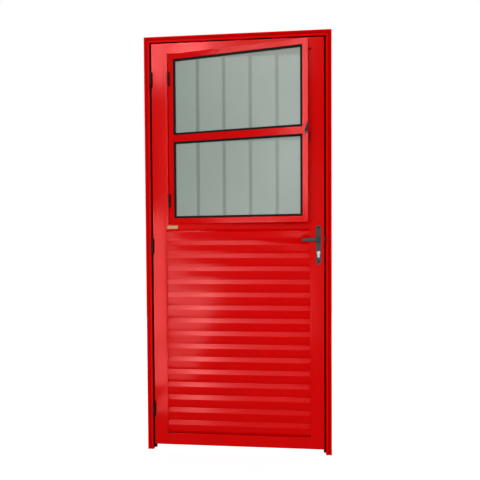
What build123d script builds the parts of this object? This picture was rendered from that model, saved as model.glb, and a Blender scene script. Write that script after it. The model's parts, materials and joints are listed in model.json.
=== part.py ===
"""Aluminium entry door: mitred frame, slatted leaf, glazed opening sash and fixed grille.

Millimetres. X runs across the width from the middle, Y into the depth from the front plane
of the frame, Z up from the floor. The leaf is shut and the sash stands ajar.
"""

import os

from build123d import *

# Overall size of the frame
frame_width = 940.0
frame_height = 2100.0
frame_depth = 62.0

# Frame profile, measured inwards from its outer edge
frame_face = 28.0
frame_wall = 1.6
groove_start = 7.5
groove_width = 10.5
groove_deep = 2.5
stop_lip_reach = 12.0
stop_lip_thick = 3.0
cleat_arm = 60.0
cleat_front = 12.0
cleat_deep = 40.0

# Seal on the stop lip
seal_reach = 8.5
seal_deep = 2.8
seal_edge = 1.2
seal_ease = 1.6
seal_gap = 0.2

# Clearances
butt_gap = 0.05
slip = 0.3
seat = 0.1
plate_seat = 0.05
pin_clearance = 0.05
knuckle_gap = 0.2
cut_reach = 4.0

# Leaf
leaf_gap_side = 9.0
leaf_gap_top = 5.0
leaf_gap_foot = 26.0
leaf_front = 5.0
leaf_thick = 25.0
leaf_wall = 1.6
stile_face = 63.5
top_rail_face = 52.0
lock_rail_face = 26.0
bottom_rail_high = 85.0
rail_cleat_long = 40.0
rail_cleat_inset = 2.0

# Boards of the lower panel; depths are counted from the front face of the leaf
board_count = 16
board_groups = 4
board_pitch = 66.0
board_lap_foot = 1.5
board_lap_top = 9.5
board_ridge_deep = 4.8
board_break_deep = 9.6
board_valley_deep = 13.0
board_back_inset = 3.5
board_ridge_up = 44.0
board_break_up = 14.0
board_wall = 1.4
board_joint = 1.0
board_tongue = 5.0
board_tongue_wall = 2.2
board_tongue_fit = 0.2
board_tongue_end = 0.6
bead_face = 6.5
bead_inset = 1.6
bead_thick = 2.8

# Sash opening: fixed strip, rear stops and grille
strip_face = 18.0
strip_inset = 0.6
sash_rest_gap = 1.5
stop_face_left = 35.0
stop_face_right = 15.5
stop_face_rail = 20.0
stop_wall = 1.4
bar_count = 4
bar_pitch = 134.0
bar_face = 17.0
bar_deep = 5.0
bar_wall = 1.2
bar_reach = 10.0
bar_slip_deep = 0.2
crossbar_drop = 6.0
crossbar_face = 20.0

# Sash
sash_open = 11.2
sash_axis_y = -1.5
sash_edge = 3.5
sash_gap = 3.0
sash_gap_foot = 3.5
sash_thick = 15.5
sash_face = 26.5
sash_face_low = 28.0
sash_mid_face = 34.0
sash_mid_up = 433.0
sash_wall = 1.4
gasket_face = 7.5
gasket_sink = 1.2
gasket_slip = 0.2
glass_thick = 4.0
glass_edge = 2.0

# Hinges
hinge_low_z = 210.0
hinge_mid_z = 1047.0
hinge_high_drop = 213.0
hinge_axis_in = 35.5
hinge_axis_y = -3.0
hinge_r = 7.5
hinge_tall = 78.0
hinge_pin_r = 3.5
hinge_pin_rise = 2.0
hinge_cap_tall = 5.7
hinge_cap_ease = 3.0
hinge_cap_taper = 45.0
hinge_plate = 1.9
hinge_plate_inset = 2.0
hinge_neck_fixed = 3.2
hinge_neck_door = 5.3
hinge_neck_door_front = 1.5
neck_lap = 0.2
hinge_screw_y = 18.0
hinge_screw_up = 22.0
sash_hinge_low_up = 119.0
sash_hinge_high_drop = 128.0
sash_hinge_r = 6.0
sash_hinge_tall = 68.0
sash_hinge_pin_r = 2.5
sash_hinge_pin_rise = 0.6
sash_hinge_plate = 1.2
sash_hinge_plate_back = 19.0
sash_hinge_neck = 5.1

# Screws
screw_r = 1.7
screw_pilot_r = 1.9
screw_hole_r = 2.0
screw_head_r = 3.4
screw_head_thick = 1.2
strike_head_r = 3.2
strike_head_thick = 1.4

# Handles; heights are counted from the spindle
spindle_z = 1075.5
handle_inset = 27.5
plate_face = 25.4
plate_up = 71.5
plate_down = 123.8
plate_thick = 3.0
plate_ease = 0.9
handle_screw_top = 12.5
handle_screw_foot = 14.9
handle_screw_r = 2.4
handle_screw_hole_r = 2.6
handle_head_r = 4.2
handle_head_rise = 1.7
lever_reach = 85.0
lever_rise = 19.5
lever_off = 46.0
lever_thick = 9.0
lever_neck_r = 8.0
lever_ease = 1.6
lever_neck_in = 2.0
lever_neck_fit = 0.2
lever_neck_lap = 1.0
lever_root_half = 8.5
lever_shoulder = 30.0
lever_tip_under = 9.0
lever_tip_rise = 1.5
lever_tip_low = 4.0
lever_tip_high = 6.0
lever_tip_over = 5.0
spindle_side = 8.0
spindle_fit = 0.2
follower_r = 7.6
follower_deep = 12.0
follower_gap = 1.0
spindle_short = 4.0

# Lock, cylinder and strike; heights are counted from the spindle
cylinder_down = 65.0
cylinder_r = 8.5
cylinder_drop = 24.5
cylinder_web = 10.0
cylinder_out = 1.6
cylinder_cut_tall = 24.0
cylinder_cut_wide = 10.0
cylinder_fit = 0.3
case_fit = 0.4
stile_fit = 0.6
faceplate_slot_fit = 0.2
plug_r = 6.5
cam_wide = 6.0
cam_rise = 10.0
cam_thick = 8.0
cam_hub = 1.0
keyway_wide = 1.2
keyway_tall = 8.0
keyway_deep = 3.0
keyway_drop = 1.0
latch_up = 4.5
latch_tall = 18.0
latch_deep = 11.0
latch_out = 11.5
latch_nose = 2.0
latch_lead = 1.0
bolt_down = 37.5
bolt_long = 31.6
bolt_inset = 0.4
case_reach = 42.0
case_thick = 16.0
case_wall = 1.5
case_up = 41.5
case_down = 140.5
faceplate_thick = 3.0
faceplate_wide = 21.6
faceplate_up = 49.5
faceplate_down = 145.5
strike_thick = 1.6
strike_front = 1.5
strike_back = 29.0
strike_up = 59.5
strike_down = 90.5
strike_screw_up = 44.5
strike_screw_down = 75.5
strike_lip_tall = 46.0
strike_lip_out = 4.5
strike_lip_front = -1.8
strike_lip_thick = 1.6
strike_lip_back = 2.5
strike_lip_over = 2.0
strike_fit = 0.8
pocket_fit = 1.25

# Keeper and turning latch of the sash
keeper_inset = 8.5
keeper_drop = 3.5
keeper_wide = 10.8
keeper_tall = 42.0
keeper_thick = 1.05
keeper_slot_wide = 5.6
keeper_slot_tall = 13.0
keeper_screw_up = 14.0
keeper_screw_r = 1.2
keeper_pilot_r = 1.4
keeper_screw_long = 3.0
keeper_head_thick = 0.85
keeper_hole_r = 2.6
keeper_head_r = 2.4
latch_body_wide = 19.0
latch_body_tall = 43.0
latch_body_thick = 7.0
latch_body_corner = 3.0
latch_boss_r = 7.5
latch_boss_out = 13.0
latch_body_shift = -1.0
latch_body_up = 8.0
latch_rod_fit = 0.5
latch_rod_r = 2.5
latch_rod_reach = 5.0
latch_lever_thick = 5.0
latch_lever_long = 38.0
latch_lever_wide = 9.0
latch_lever_lean = 73.0
latch_lever_shift = 4.5
latch_lever_up = 15.0
latch_eye_r = 7.0
hook_wide = 4.0
hook_thick = 2.4
hook_tall = 10.0
hook_behind = 2.4

# Wall fixing holes through the jambs
fixing_count = 4
fixing_low_z = 250.0
fixing_high_drop = 200.0
fixing_r = 4.0
fixing_access = 1.5
fixing_y = 49.0

# Flats round the small round pieces
round_sides = 24
bore_sides = 12
boss_sides = 20
screw_sides = 6

half = frame_width / 2
jamb_face = half - frame_face
leaf_right = jamb_face - leaf_gap_side
leaf_left = -leaf_right
leaf_top = frame_height - frame_face - leaf_gap_top
leaf_back = leaf_front + leaf_thick
leaf_mid_y = leaf_front + leaf_thick / 2
open_right = leaf_right - stile_face
open_left = -open_right
top_rail_low = leaf_top - top_rail_face
board_low = bottom_rail_high - board_lap_foot
board_end = board_low + board_count * board_pitch
lock_rail_low = board_end - board_lap_top
lock_rail_high = lock_rail_low + lock_rail_face
stop_lip_front = leaf_back + seal_gap + seal_deep

strip_left = open_left + butt_gap
strip_right = open_left + strip_face
stop_front = leaf_front + sash_thick + sash_rest_gap
stop_mid_y = (stop_front + leaf_back) / 2
stop_x = (open_left + stop_face_left + butt_gap, open_right - stop_face_right - butt_gap)
opening_z = (lock_rail_high + butt_gap, top_rail_low - butt_gap)

sash_left = strip_right + sash_gap
sash_right = open_right - sash_gap
sash_axis_x = sash_left + sash_edge
sash_low = lock_rail_high + sash_gap_foot
sash_high = top_rail_low - sash_gap
sash_mid_z = lock_rail_high + sash_mid_up
sash_back = leaf_front + sash_thick
sash_y = (leaf_front, sash_back)
sash_inner = (sash_left + sash_face, sash_right - sash_face)

hinge_zs = (hinge_low_z, hinge_mid_z, frame_height - hinge_high_drop)
hinge_axis_x = hinge_axis_in - half
hinge_screw_dzs = (-hinge_screw_up, hinge_screw_up)
sash_hinge_zs = (lock_rail_high + sash_hinge_low_up, top_rail_low - sash_hinge_high_drop)

handle_x = leaf_right - handle_inset
plate_low = spindle_z - plate_down
plate_high = spindle_z + plate_up
handle_screw_zs = (plate_low + handle_screw_foot, plate_high - handle_screw_top)
cylinder_z = spindle_z - cylinder_down
latch_z = spindle_z + latch_up
bolt_z = spindle_z - bolt_down
face_low = spindle_z - faceplate_down
face_high = spindle_z + faceplate_up
strike_screw_zs = (spindle_z - strike_screw_down, spindle_z + strike_screw_up)
strike_x = jamb_face - strike_thick - seat
keeper_x = open_right - keeper_inset
keeper_z = sash_mid_z - keeper_drop
keeper_screw_zs = (keeper_z - keeper_screw_up, keeper_z + keeper_screw_up)

fixing_span = frame_height - fixing_high_drop - fixing_low_z
fixing_zs = [fixing_low_z + i * fixing_span / (fixing_count - 1) for i in range(fixing_count)]
bar_xs = [(i - (bar_count - 1) / 2) * bar_pitch for i in range(bar_count)]

os.makedirs("parts", exist_ok=True)


def save(part, label):
    """Labels a finished piece and writes its STEP file."""
    part.label = label
    export_step(part, f"parts/{label}.step")


def outline(points, mode=Mode.ADD):
    """Face through the points, joined to the open sketch or cut from it."""
    with BuildLine() as edge:
        Polyline(*points, close=True)
    make_face(edge.edges(), mode=mode)


def block(x, y, z, mode=Mode.ADD):
    """Box between pairs of places along X, Y and Z."""
    with Locations(((x[0] + x[1]) / 2, (y[0] + y[1]) / 2, (z[0] + z[1]) / 2)):
        Box(abs(x[1] - x[0]), abs(y[1] - y[0]), abs(z[1] - z[0]), mode=mode)


def round_bar(plane, centre, r, length, sides, bore=False, mode=Mode.ADD):
    """Round bar with flats; r reaches its corners, or its flats where it is a bore."""
    with BuildSketch(plane) as section:
        with Locations(centre):
            RegularPolygon(r, sides, major_radius=not bore)
    extrude(section.sketch, amount=length, mode=mode)


def knuckle(x, y, z, r):
    """Barrel of a hinge about an upright axis, between a pair of heights."""
    round_bar(Plane.XY.offset(z[0]), (x, y), r, z[1] - z[0], boss_sides)


def upright_pin(x, y, z, r):
    """Round pin about an upright axis, between a pair of heights."""
    with Locations((x, y, (z[0] + z[1]) / 2)):
        Cylinder(r, z[1] - z[0])


def upright_bore(x, y, z, r):
    """Bore about an upright axis, between a pair of heights."""
    round_bar(Plane.XY.offset(z[0]), (x, y), r, z[1] - z[0], bore_sides, True, Mode.SUBTRACT)


def cross_bar(x, y, z, r):
    """Screw shank or head that runs along X."""
    round_bar(Plane.YZ.offset(x[0]), (y, z), r, x[1] - x[0], screw_sides)


def cross_hole(x, y, z, r):
    """Hole along X about a middle place, through one wall."""
    plane = Plane.YZ.offset(x - cut_reach)
    round_bar(plane, (y, z), r, 2 * cut_reach, screw_sides, mode=Mode.SUBTRACT)


def deep_bar(x, y, z, r, sides):
    """Round bar that runs along Y, between a pair of depths."""
    round_bar(Plane.XZ.offset(-y[0]), (x, z), r, y[0] - y[1], sides)


def deep_pin(x, y, z, r):
    """Round pin that runs along Y, between a pair of depths."""
    with Locations((x, (y[0] + y[1]) / 2, z)):
        Cylinder(r, y[1] - y[0], rotation=(90, 0, 0))


def deep_bore(x, y, z, r, sides=bore_sides):
    """Bore that runs along Y, between a pair of depths."""
    round_bar(Plane.XZ.offset(-y[0]), (x, z), r, y[0] - y[1], sides, True, Mode.SUBTRACT)


def tube(plane, u, v, length, wall):
    """Hollow rectangular profile between pairs of places along the two axes of a plane."""
    with BuildSketch(plane) as section:
        with Locations(((u[0] + u[1]) / 2, (v[0] + v[1]) / 2)):
            Rectangle(u[1] - u[0], v[1] - v[0])
            Rectangle(u[1] - u[0] - 2 * wall, v[1] - v[0] - 2 * wall, mode=Mode.SUBTRACT)
    extrude(section.sketch, amount=length)


def upright_tube(x, y, z, wall):
    """Hollow rectangular profile that runs along Z."""
    tube(Plane.XY.offset(z[0]), x, y, z[1] - z[0], wall)


def level_tube(x, y, z, wall):
    """Hollow rectangular profile that runs along X."""
    tube(Plane.YZ.offset(x[0]), y, z, x[1] - x[0], wall)


def bolt_opening(x, z, fit):
    """Rectangular cut round the latch or the dead bolt, larger by the fit on each side."""
    deep = latch_deep / 2 + fit
    tall = latch_tall / 2 + fit
    block(x, (leaf_mid_y - deep, leaf_mid_y + deep), (z - tall, z + tall), Mode.SUBTRACT)


def cylinder_opening(y, fit):
    """Cut round the profile cylinder, larger by the fit all round."""
    side = cylinder_web / 2 + fit
    deep_bore(handle_x, y, cylinder_z, cylinder_r + fit)
    low = cylinder_z - cylinder_drop - fit
    block((handle_x - side, handle_x + side), y, (low, cylinder_z), Mode.SUBTRACT)


def profile_points():
    """Outline of the frame profile as (inward, depth) pairs."""
    groove_end = groove_start + groove_width
    lip_back = stop_lip_front + stop_lip_thick
    return [
        (0, 0),
        (groove_start, 0),
        (groove_start, groove_deep),
        (groove_end, groove_deep),
        (groove_end, 0),
        (frame_face, 0),
        (frame_face, stop_lip_front),
        (frame_face + stop_lip_reach, stop_lip_front),
        (frame_face + stop_lip_reach, lip_back),
        (frame_face, lip_back),
        (frame_face, frame_depth),
        (0, frame_depth),
    ]


def cavity_points():
    """Hollow of the frame profile as (inward, depth) pairs."""
    inner = frame_face - frame_wall
    front = groove_deep + frame_wall
    back = frame_depth - frame_wall
    return [(frame_wall, front), (inner, front), (inner, back), (frame_wall, back)]


def mitre_cut(side, foot):
    """Cuts along the mitre of one corner; foot is the height or place that stays outside."""
    reach = 2 * (frame_face + stop_lip_reach)
    corner = (side * half, frame_height)
    inner = (side * (half - reach), frame_height - reach)
    with BuildSketch(Plane.XZ) as cut:
        outline([corner, foot(side, reach), inner])
    extrude(cut.sketch, amount=-2 * frame_depth, both=True, mode=Mode.SUBTRACT)


def above_mitre(side, reach):
    """Corner of a mitre cut that lies along the top edge."""
    return side * (half - reach), frame_height


def beside_mitre(side, reach):
    """Corner of a mitre cut that lies along the outer edge."""
    return side * half, frame_height - reach


def jamb(side):
    """Upright of the frame; side is -1 at the hinges and +1 at the lock."""
    inner = side * jamb_face
    with BuildPart() as piece:
        with BuildSketch():
            outline([(side * (half - u), y) for u, y in profile_points()])
            outline([(side * (half - u), y) for u, y in cavity_points()], Mode.SUBTRACT)
        extrude(amount=frame_height)
        mitre_cut(side, above_mitre)
        for z in fixing_zs:
            with Locations((side * half, fixing_y, z)):
                Cylinder(fixing_r, frame_face, rotation=(0, 90, 0), mode=Mode.SUBTRACT)
            plane = Plane.YZ.offset(inner - cut_reach)
            access_r = fixing_r + fixing_access
            round_bar(
                plane, (fixing_y, z), access_r, 2 * cut_reach, bore_sides, True, Mode.SUBTRACT
            )
        if side > 0:
            for z in (latch_z, bolt_z):
                bolt_opening((inner - cut_reach, inner + cut_reach), z, pocket_fit)
            for z in strike_screw_zs:
                cross_hole(inner, leaf_mid_y, z, screw_pilot_r)
        else:
            for z in hinge_zs:
                for dz in hinge_screw_dzs:
                    cross_hole(inner, hinge_screw_y, z + dz, screw_pilot_r)
    return piece.part


save(jamb(-1), "jamb_hinge")
save(jamb(1), "jamb_lock")

with BuildPart() as head:
    with BuildSketch(Plane.YZ.offset(-half)):
        outline([(y, frame_height - u) for u, y in profile_points()])
        outline([(y, frame_height - u) for u, y in cavity_points()], Mode.SUBTRACT)
    extrude(amount=frame_width)
    for side in (-1, 1):
        mitre_cut(side, beside_mitre)
save(head.part, "head")

# Seals on the stop lip: a flat foot with an eased bulb towards the leaf
seal_foot = stop_lip_front - seat
seal_front = stop_lip_front - seal_deep
seal_shoulder = stop_lip_front - seal_edge
seal_top = frame_height - frame_face - slip
with BuildPart() as seals:
    for side in (-1, 1):
        near = jamb_face - slip
        away = near - seal_reach
        with BuildSketch():
            outline(
                [
                    (side * near, seal_foot),
                    (side * away, seal_foot),
                    (side * away, seal_shoulder),
                    (side * (away + seal_ease), seal_front),
                    (side * (near - seal_ease), seal_front),
                    (side * near, seal_shoulder),
                ]
            )
        extrude(amount=seal_top - seal_reach - slip)
    with BuildSketch(Plane.YZ.offset(slip - jamb_face)):
        outline(
            [
                (seal_foot, seal_top),
                (seal_foot, seal_top - seal_reach),
                (seal_shoulder, seal_top - seal_reach),
                (seal_front, seal_top - seal_reach + seal_ease),
                (seal_front, seal_top - seal_ease),
                (seal_shoulder, seal_top),
            ]
        )
    extrude(amount=2 * (jamb_face - slip))
save(seals.part, "frame_seals")

# Angle cleats inside the mitred corners
cleat_out = frame_wall + slip
cleat_in = frame_face - frame_wall - slip
with BuildPart() as cleats:
    for side in (-1, 1):
        with BuildSketch(Plane.XZ.offset(-cleat_front)):
            outline(
                [
                    (side * (half - cleat_out), frame_height - cleat_out),
                    (side * (half - cleat_arm), frame_height - cleat_out),
                    (side * (half - cleat_arm), frame_height - cleat_in),
                    (side * (half - cleat_in), frame_height - cleat_in),
                    (side * (half - cleat_in), frame_height - cleat_arm),
                    (side * (half - cleat_out), frame_height - cleat_arm),
                ]
            )
        extrude(amount=-cleat_deep)
save(cleats.part, "frame_corner_cleats")

# Strike plate with a lip curled over the front edge of the lock jamb
strike_face = (strike_x, strike_x + strike_thick)
strike_low = spindle_z - strike_down
strike_high = spindle_z + strike_up
with BuildPart() as strike:
    block(strike_face, (strike_front, strike_back), (strike_low, strike_high))
    for z in (latch_z, bolt_z):
        bolt_opening(strike_face, z, strike_fit)
    for z in strike_screw_zs:
        cross_hole(strike_x, leaf_mid_y, z, screw_hole_r)
    with BuildSketch(Plane.XY.offset(latch_z - strike_lip_tall / 2)):
        lip_x = strike_x - strike_lip_out
        outline(
            [
                (strike_x, strike_lip_back),
                (lip_x, strike_lip_front + strike_lip_thick - 2 * seat),
                (lip_x, strike_lip_front),
                (jamb_face + strike_lip_over, strike_lip_front),
                (jamb_face + strike_lip_over, strike_lip_front + strike_lip_thick),
                (jamb_face - seat, strike_lip_front + strike_lip_thick),
                (jamb_face - seat, strike_lip_back),
            ]
        )
    extrude(amount=strike_lip_tall)
save(strike.part, "strike_plate")


# Main hinges: fixed leaves carry the two end knuckles, door leaves the middle one
def knuckles(z, tall):
    """Heights of the foot, the two joints and the top of the barrel about z."""
    low = z - tall / 2
    high = z + tall / 2
    return low, low + tall / 3, high - tall / 3, high


barrel_tall = hinge_tall - 2 * (hinge_cap_tall + slip)
bore_r = hinge_pin_r + pin_clearance
hinge_plate_back = leaf_back - hinge_plate_inset
fixed_x = -jamb_face + plate_seat
fixed_plate = (fixed_x, fixed_x + hinge_plate)
door_x = leaf_left - plate_seat
door_plate = (door_x - hinge_plate, door_x)

with BuildPart() as frame_leaves:
    for z in hinge_zs:
        low, lower, upper, high = knuckles(z, barrel_tall)
        block(fixed_plate, (hinge_neck_fixed, hinge_plate_back), (low, high))
        for ends in ((low, lower - knuckle_gap), (upper + knuckle_gap, high)):
            block(fixed_plate, (hinge_axis_y, hinge_neck_fixed + neck_lap), ends)
            knuckle(hinge_axis_x, hinge_axis_y, ends, hinge_r)
        upright_bore(hinge_axis_x, hinge_axis_y, (low, high), bore_r)
        for dz in hinge_screw_dzs:
            cross_hole(fixed_x, hinge_screw_y, z + dz, screw_hole_r)
save(frame_leaves.part, "hinge_frame_leaves")

with BuildPart() as door_leaves:
    for z in hinge_zs:
        low, lower, upper, high = knuckles(z, barrel_tall)
        ends = (lower + knuckle_gap, upper - knuckle_gap)
        block(door_plate, (hinge_neck_door, hinge_plate_back), (low, high))
        block(door_plate, (hinge_neck_door_front, hinge_neck_door + neck_lap), ends)
        knuckle(hinge_axis_x, hinge_axis_y, ends, hinge_r)
        upright_bore(hinge_axis_x, hinge_axis_y, (low, high), bore_r)
        for dz in hinge_screw_dzs:
            cross_hole(door_x, hinge_screw_y, z + dz, screw_hole_r)
save(door_leaves.part, "hinge_door_leaves")


def finial(x, y, z, r, tip):
    """Cap with a tapered end over a barrel; tip is +1 upwards or -1 downwards."""
    straight = hinge_cap_tall - hinge_cap_ease
    with BuildSketch(Plane((x, y, z), z_dir=(0, 0, tip))) as foot:
        RegularPolygon(r, boss_sides)
    extrude(foot.sketch, amount=straight)
    with BuildSketch(Plane((x, y, z + tip * straight), z_dir=(0, 0, tip))) as shoulder:
        RegularPolygon(r, boss_sides)
    extrude(shoulder.sketch, amount=hinge_cap_ease, taper=hinge_cap_taper)


with BuildPart() as pins:
    for z in hinge_zs:
        low, lower, upper, high = knuckles(z, barrel_tall)
        ends = (low - hinge_pin_rise, high + hinge_pin_rise)
        upright_pin(hinge_axis_x, hinge_axis_y, ends, hinge_pin_r)
        finial(hinge_axis_x, hinge_axis_y, low - slip, hinge_r, -1)
        finial(hinge_axis_x, hinge_axis_y, high + slip, hinge_r, 1)
save(pins.part, "hinge_pins")

with BuildPart() as frame_screws:
    for z in hinge_zs:
        for dz in hinge_screw_dzs:
            head_x = fixed_x + hinge_plate + seat
            cross_bar((fixed_x - cut_reach, head_x), hinge_screw_y, z + dz, screw_r)
            cross_bar((head_x, head_x + screw_head_thick), hinge_screw_y, z + dz, screw_head_r)
    for z in strike_screw_zs:
        cross_bar((strike_x - seat, strike_x + 2 * cut_reach), leaf_mid_y, z, screw_r)
        head_x = strike_x - seat - strike_head_thick
        cross_bar((head_x, strike_x - seat), leaf_mid_y, z, strike_head_r)
save(frame_screws.part, "frame_screws")

# Leaf stiles and rails
leaf_y = (leaf_front, leaf_back)
stile_z = (leaf_gap_foot, leaf_top)
through_y = (leaf_front - cut_reach, leaf_back + cut_reach)
with BuildPart() as stile:
    upright_tube((leaf_left, open_left), leaf_y, stile_z, leaf_wall)
    for z in hinge_zs:
        for dz in hinge_screw_dzs:
            cross_hole(leaf_left, hinge_screw_y, z + dz, screw_pilot_r)
save(stile.part, "leaf_stile_hinge")

with BuildPart() as stile:
    upright_tube((open_right, leaf_right), leaf_y, stile_z, leaf_wall)
    slot = faceplate_wide / 2 + faceplate_slot_fit
    block(
        (leaf_right - cut_reach, leaf_right + seat),
        (leaf_mid_y - slot, leaf_mid_y + slot),
        (face_low, face_high),
        Mode.SUBTRACT,
    )
    deep_bore(handle_x, through_y, spindle_z, lever_neck_r + stile_fit)
    cylinder_opening(through_y, stile_fit)
    for z in handle_screw_zs:
        deep_bore(handle_x, through_y, z, handle_screw_hole_r, screw_sides)
save(stile.part, "leaf_stile_lock")

rails = {
    "leaf_rail_top": (top_rail_low, leaf_top),
    "leaf_rail_lock": (lock_rail_low, lock_rail_high),
    "leaf_rail_bottom": (leaf_gap_foot, bottom_rail_high),
}
rail_x = (open_left + butt_gap, open_right - butt_gap)
ridge_y = leaf_front + board_ridge_deep
board_break_y = leaf_front + board_break_deep
valley_y = leaf_front + board_valley_deep
board_back = leaf_back - board_back_inset
entry_y = (ridge_y - board_joint, leaf_back - board_tongue_wall)
for name, (low, high) in rails.items():
    with BuildPart() as rail:
        level_tube(rail_x, leaf_y, (low, high), leaf_wall)
        if name == "leaf_rail_lock":
            block((-half, half), entry_y, (low - seat, board_end + board_joint), Mode.SUBTRACT)
        if name == "leaf_rail_bottom":
            block((-half, half), entry_y, (board_low - board_joint, high + seat), Mode.SUBTRACT)
    save(rail.part, name)

rail_block_y = (leaf_front + rail_cleat_inset, leaf_back - rail_cleat_inset)
with BuildPart() as rail_blocks:
    for name, (low, high) in rails.items():
        foot = board_end + rail_cleat_inset if name == "leaf_rail_lock" else low + leaf_wall + slip
        end = board_low - rail_cleat_inset if name == "leaf_rail_bottom" else high - leaf_wall - slip
        for side in (-1, 1):
            near = side * (open_right - slip)
            away = side * (open_right - rail_cleat_long + slip)
            block((near, away), rail_block_y, (foot, end))
save(rail_blocks.part, "rail_cleats")


# Boards: hollow section with a ridge, a break line and a tongue under the next board
def board_section(z):
    """Outline and hollow of one board whose lower joint is at z."""
    low = z + board_joint / 2
    high = z + board_pitch - board_joint / 2
    tongue_front = valley_y + board_tongue_wall
    tongue_back = board_back - board_tongue_wall
    groove_top = low + board_tongue + board_tongue_end
    groove_front = tongue_front - board_tongue_fit
    groove_back = tongue_back + board_tongue_fit
    shape = [
        (valley_y, low),
        (board_break_y, z + board_break_up),
        (ridge_y, z + board_ridge_up),
        (valley_y, high),
        (tongue_front, high),
        (tongue_front, high + board_tongue),
        (tongue_back, high + board_tongue),
        (tongue_back, high),
        (board_back, high),
        (board_back, low),
        (groove_back, low),
        (groove_back, groove_top),
        (groove_front, groove_top),
        (groove_front, low),
    ]
    lower = z + board_break_up
    upper = high - board_wall - board_tongue_end
    hollow = [
        (board_break_y + board_wall + board_tongue_end, lower),
        (ridge_y + board_wall + board_tongue_end, z + board_ridge_up),
        (valley_y - board_tongue_end, upper),
        (board_back - board_wall, upper),
        (board_back - board_wall, lower),
    ]
    return shape, hollow


per_group = board_count // board_groups
for group in range(board_groups):
    first = group * per_group
    with BuildPart() as boards:
        for i in range(first, first + per_group):
            shape, hollow = board_section(board_low + i * board_pitch)
            with BuildSketch(Plane.YZ.offset(rail_x[0])):
                outline(shape)
                outline(hollow, Mode.SUBTRACT)
            extrude(amount=rail_x[1] - rail_x[0])
        if first + per_group == board_count:
            top_z = board_end - board_joint / 2
            over = (top_z, top_z + 2 * board_tongue)
            block((-half, half), (leaf_front, leaf_back), over, Mode.SUBTRACT)
    save(boards.part, f"boards_{first + 1}_to_{first + per_group}")

bead_y = (leaf_front + bead_inset, leaf_front + bead_inset + bead_thick)
bead_z = (bottom_rail_high + slip, lock_rail_low - slip)
with BuildPart() as beads:
    for side in (-1, 1):
        bead_x = (side * (open_right - butt_gap), side * (open_right - bead_face))
        block(bead_x, bead_y, bead_z)
save(beads.part, "board_beads")

# Sash opening: hinge strip, stops and grille
stop_y = (stop_front, leaf_back)
with BuildPart() as strip:
    strip_y = (leaf_front + strip_inset, stop_front - butt_gap)
    upright_tube((strip_left, strip_right), strip_y, opening_z, stop_wall)
save(strip.part, "sash_hinge_strip")

with BuildPart() as stop:
    upright_tube((strip_left, open_left + stop_face_left), stop_y, opening_z, stop_wall)
save(stop.part, "stop_left")

keeper_slot_x = (keeper_x - keeper_slot_wide / 2, keeper_x + keeper_slot_wide / 2)
keeper_slot_z = (keeper_z - keeper_slot_tall / 2, keeper_z + keeper_slot_tall / 2)
keeper_cut_y = (stop_front - cut_reach, stop_front + 2 * stop_wall)
with BuildPart() as stop:
    upright_tube((open_right - stop_face_right, open_right - butt_gap), stop_y, opening_z, stop_wall)
    block(keeper_slot_x, keeper_cut_y, keeper_slot_z, Mode.SUBTRACT)
    for z in keeper_screw_zs:
        deep_bore(keeper_x, keeper_cut_y, z, keeper_pilot_r, screw_sides)
save(stop.part, "stop_right")


def bar_openings(z):
    """Slots that the upright bars pass through, between a pair of heights."""
    side = bar_face / 2 + slip
    deep = (bar_deep + bar_slip_deep) / 2 + bar_slip_deep / 2
    for x in bar_xs:
        slot_y = (stop_mid_y - deep, stop_mid_y + deep)
        block((x - side, x + side), slot_y, z, Mode.SUBTRACT)


bottom_top = opening_z[0] + stop_face_rail
top_foot = opening_z[1] - stop_face_rail
with BuildPart() as stop:
    level_tube(stop_x, stop_y, (opening_z[0], bottom_top), stop_wall)
    bar_openings((bottom_top - 2 * stop_wall, bottom_top + stop_wall))
save(stop.part, "stop_bottom")

with BuildPart() as stop:
    level_tube(stop_x, stop_y, (top_foot, opening_z[1]), stop_wall)
    bar_openings((top_foot - stop_wall, top_foot + 2 * stop_wall))
save(stop.part, "stop_top")

with BuildPart() as bars:
    for x in bar_xs:
        upright_tube(
            (x - bar_face / 2, x + bar_face / 2),
            (stop_mid_y - bar_deep / 2, stop_mid_y + bar_deep / 2),
            (bottom_top - bar_reach, top_foot + bar_reach),
            bar_wall,
        )
save(bars.part, "grille_bars")

crossbar_z = sash_mid_z - crossbar_drop
crossbar_ends = (crossbar_z - crossbar_face / 2, crossbar_z + crossbar_face / 2)
with BuildPart() as crossbar:
    level_tube(stop_x, stop_y, crossbar_ends, stop_wall)
    bar_openings((crossbar_ends[0] - stop_wall, crossbar_ends[1] + stop_wall))
save(crossbar.part, "grille_crossbar")

keeper_back = stop_front - plate_seat
with BuildPart() as keeper:
    block(
        (keeper_x - keeper_wide / 2, keeper_x + keeper_wide / 2),
        (keeper_back - keeper_thick, keeper_back),
        (keeper_z - keeper_tall / 2, keeper_z + keeper_tall / 2),
    )
    block(keeper_slot_x, keeper_cut_y, keeper_slot_z, Mode.SUBTRACT)
    for z in keeper_screw_zs:
        deep_bore(keeper_x, keeper_cut_y, z, keeper_hole_r, screw_sides)
save(keeper.part, "sash_keeper")

with BuildPart() as leaf_screws:
    for z in hinge_zs:
        for dz in hinge_screw_dzs:
            head_x = door_x - hinge_plate - seat
            shank = (head_x, leaf_left + 2 * cut_reach)
            cross_bar(shank, hinge_screw_y, z + dz, screw_r)
            cross_bar((head_x - screw_head_thick, head_x), hinge_screw_y, z + dz, screw_head_r)
    for z in keeper_screw_zs:
        head_y = stop_front - seat
        deep_bar(keeper_x, (head_y - keeper_head_thick, head_y), z, keeper_head_r, screw_sides)
        tip = stop_front + keeper_screw_long
        deep_bar(keeper_x, (head_y, tip), z, keeper_screw_r, screw_sides)
save(leaf_screws.part, "leaf_screws")

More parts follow.
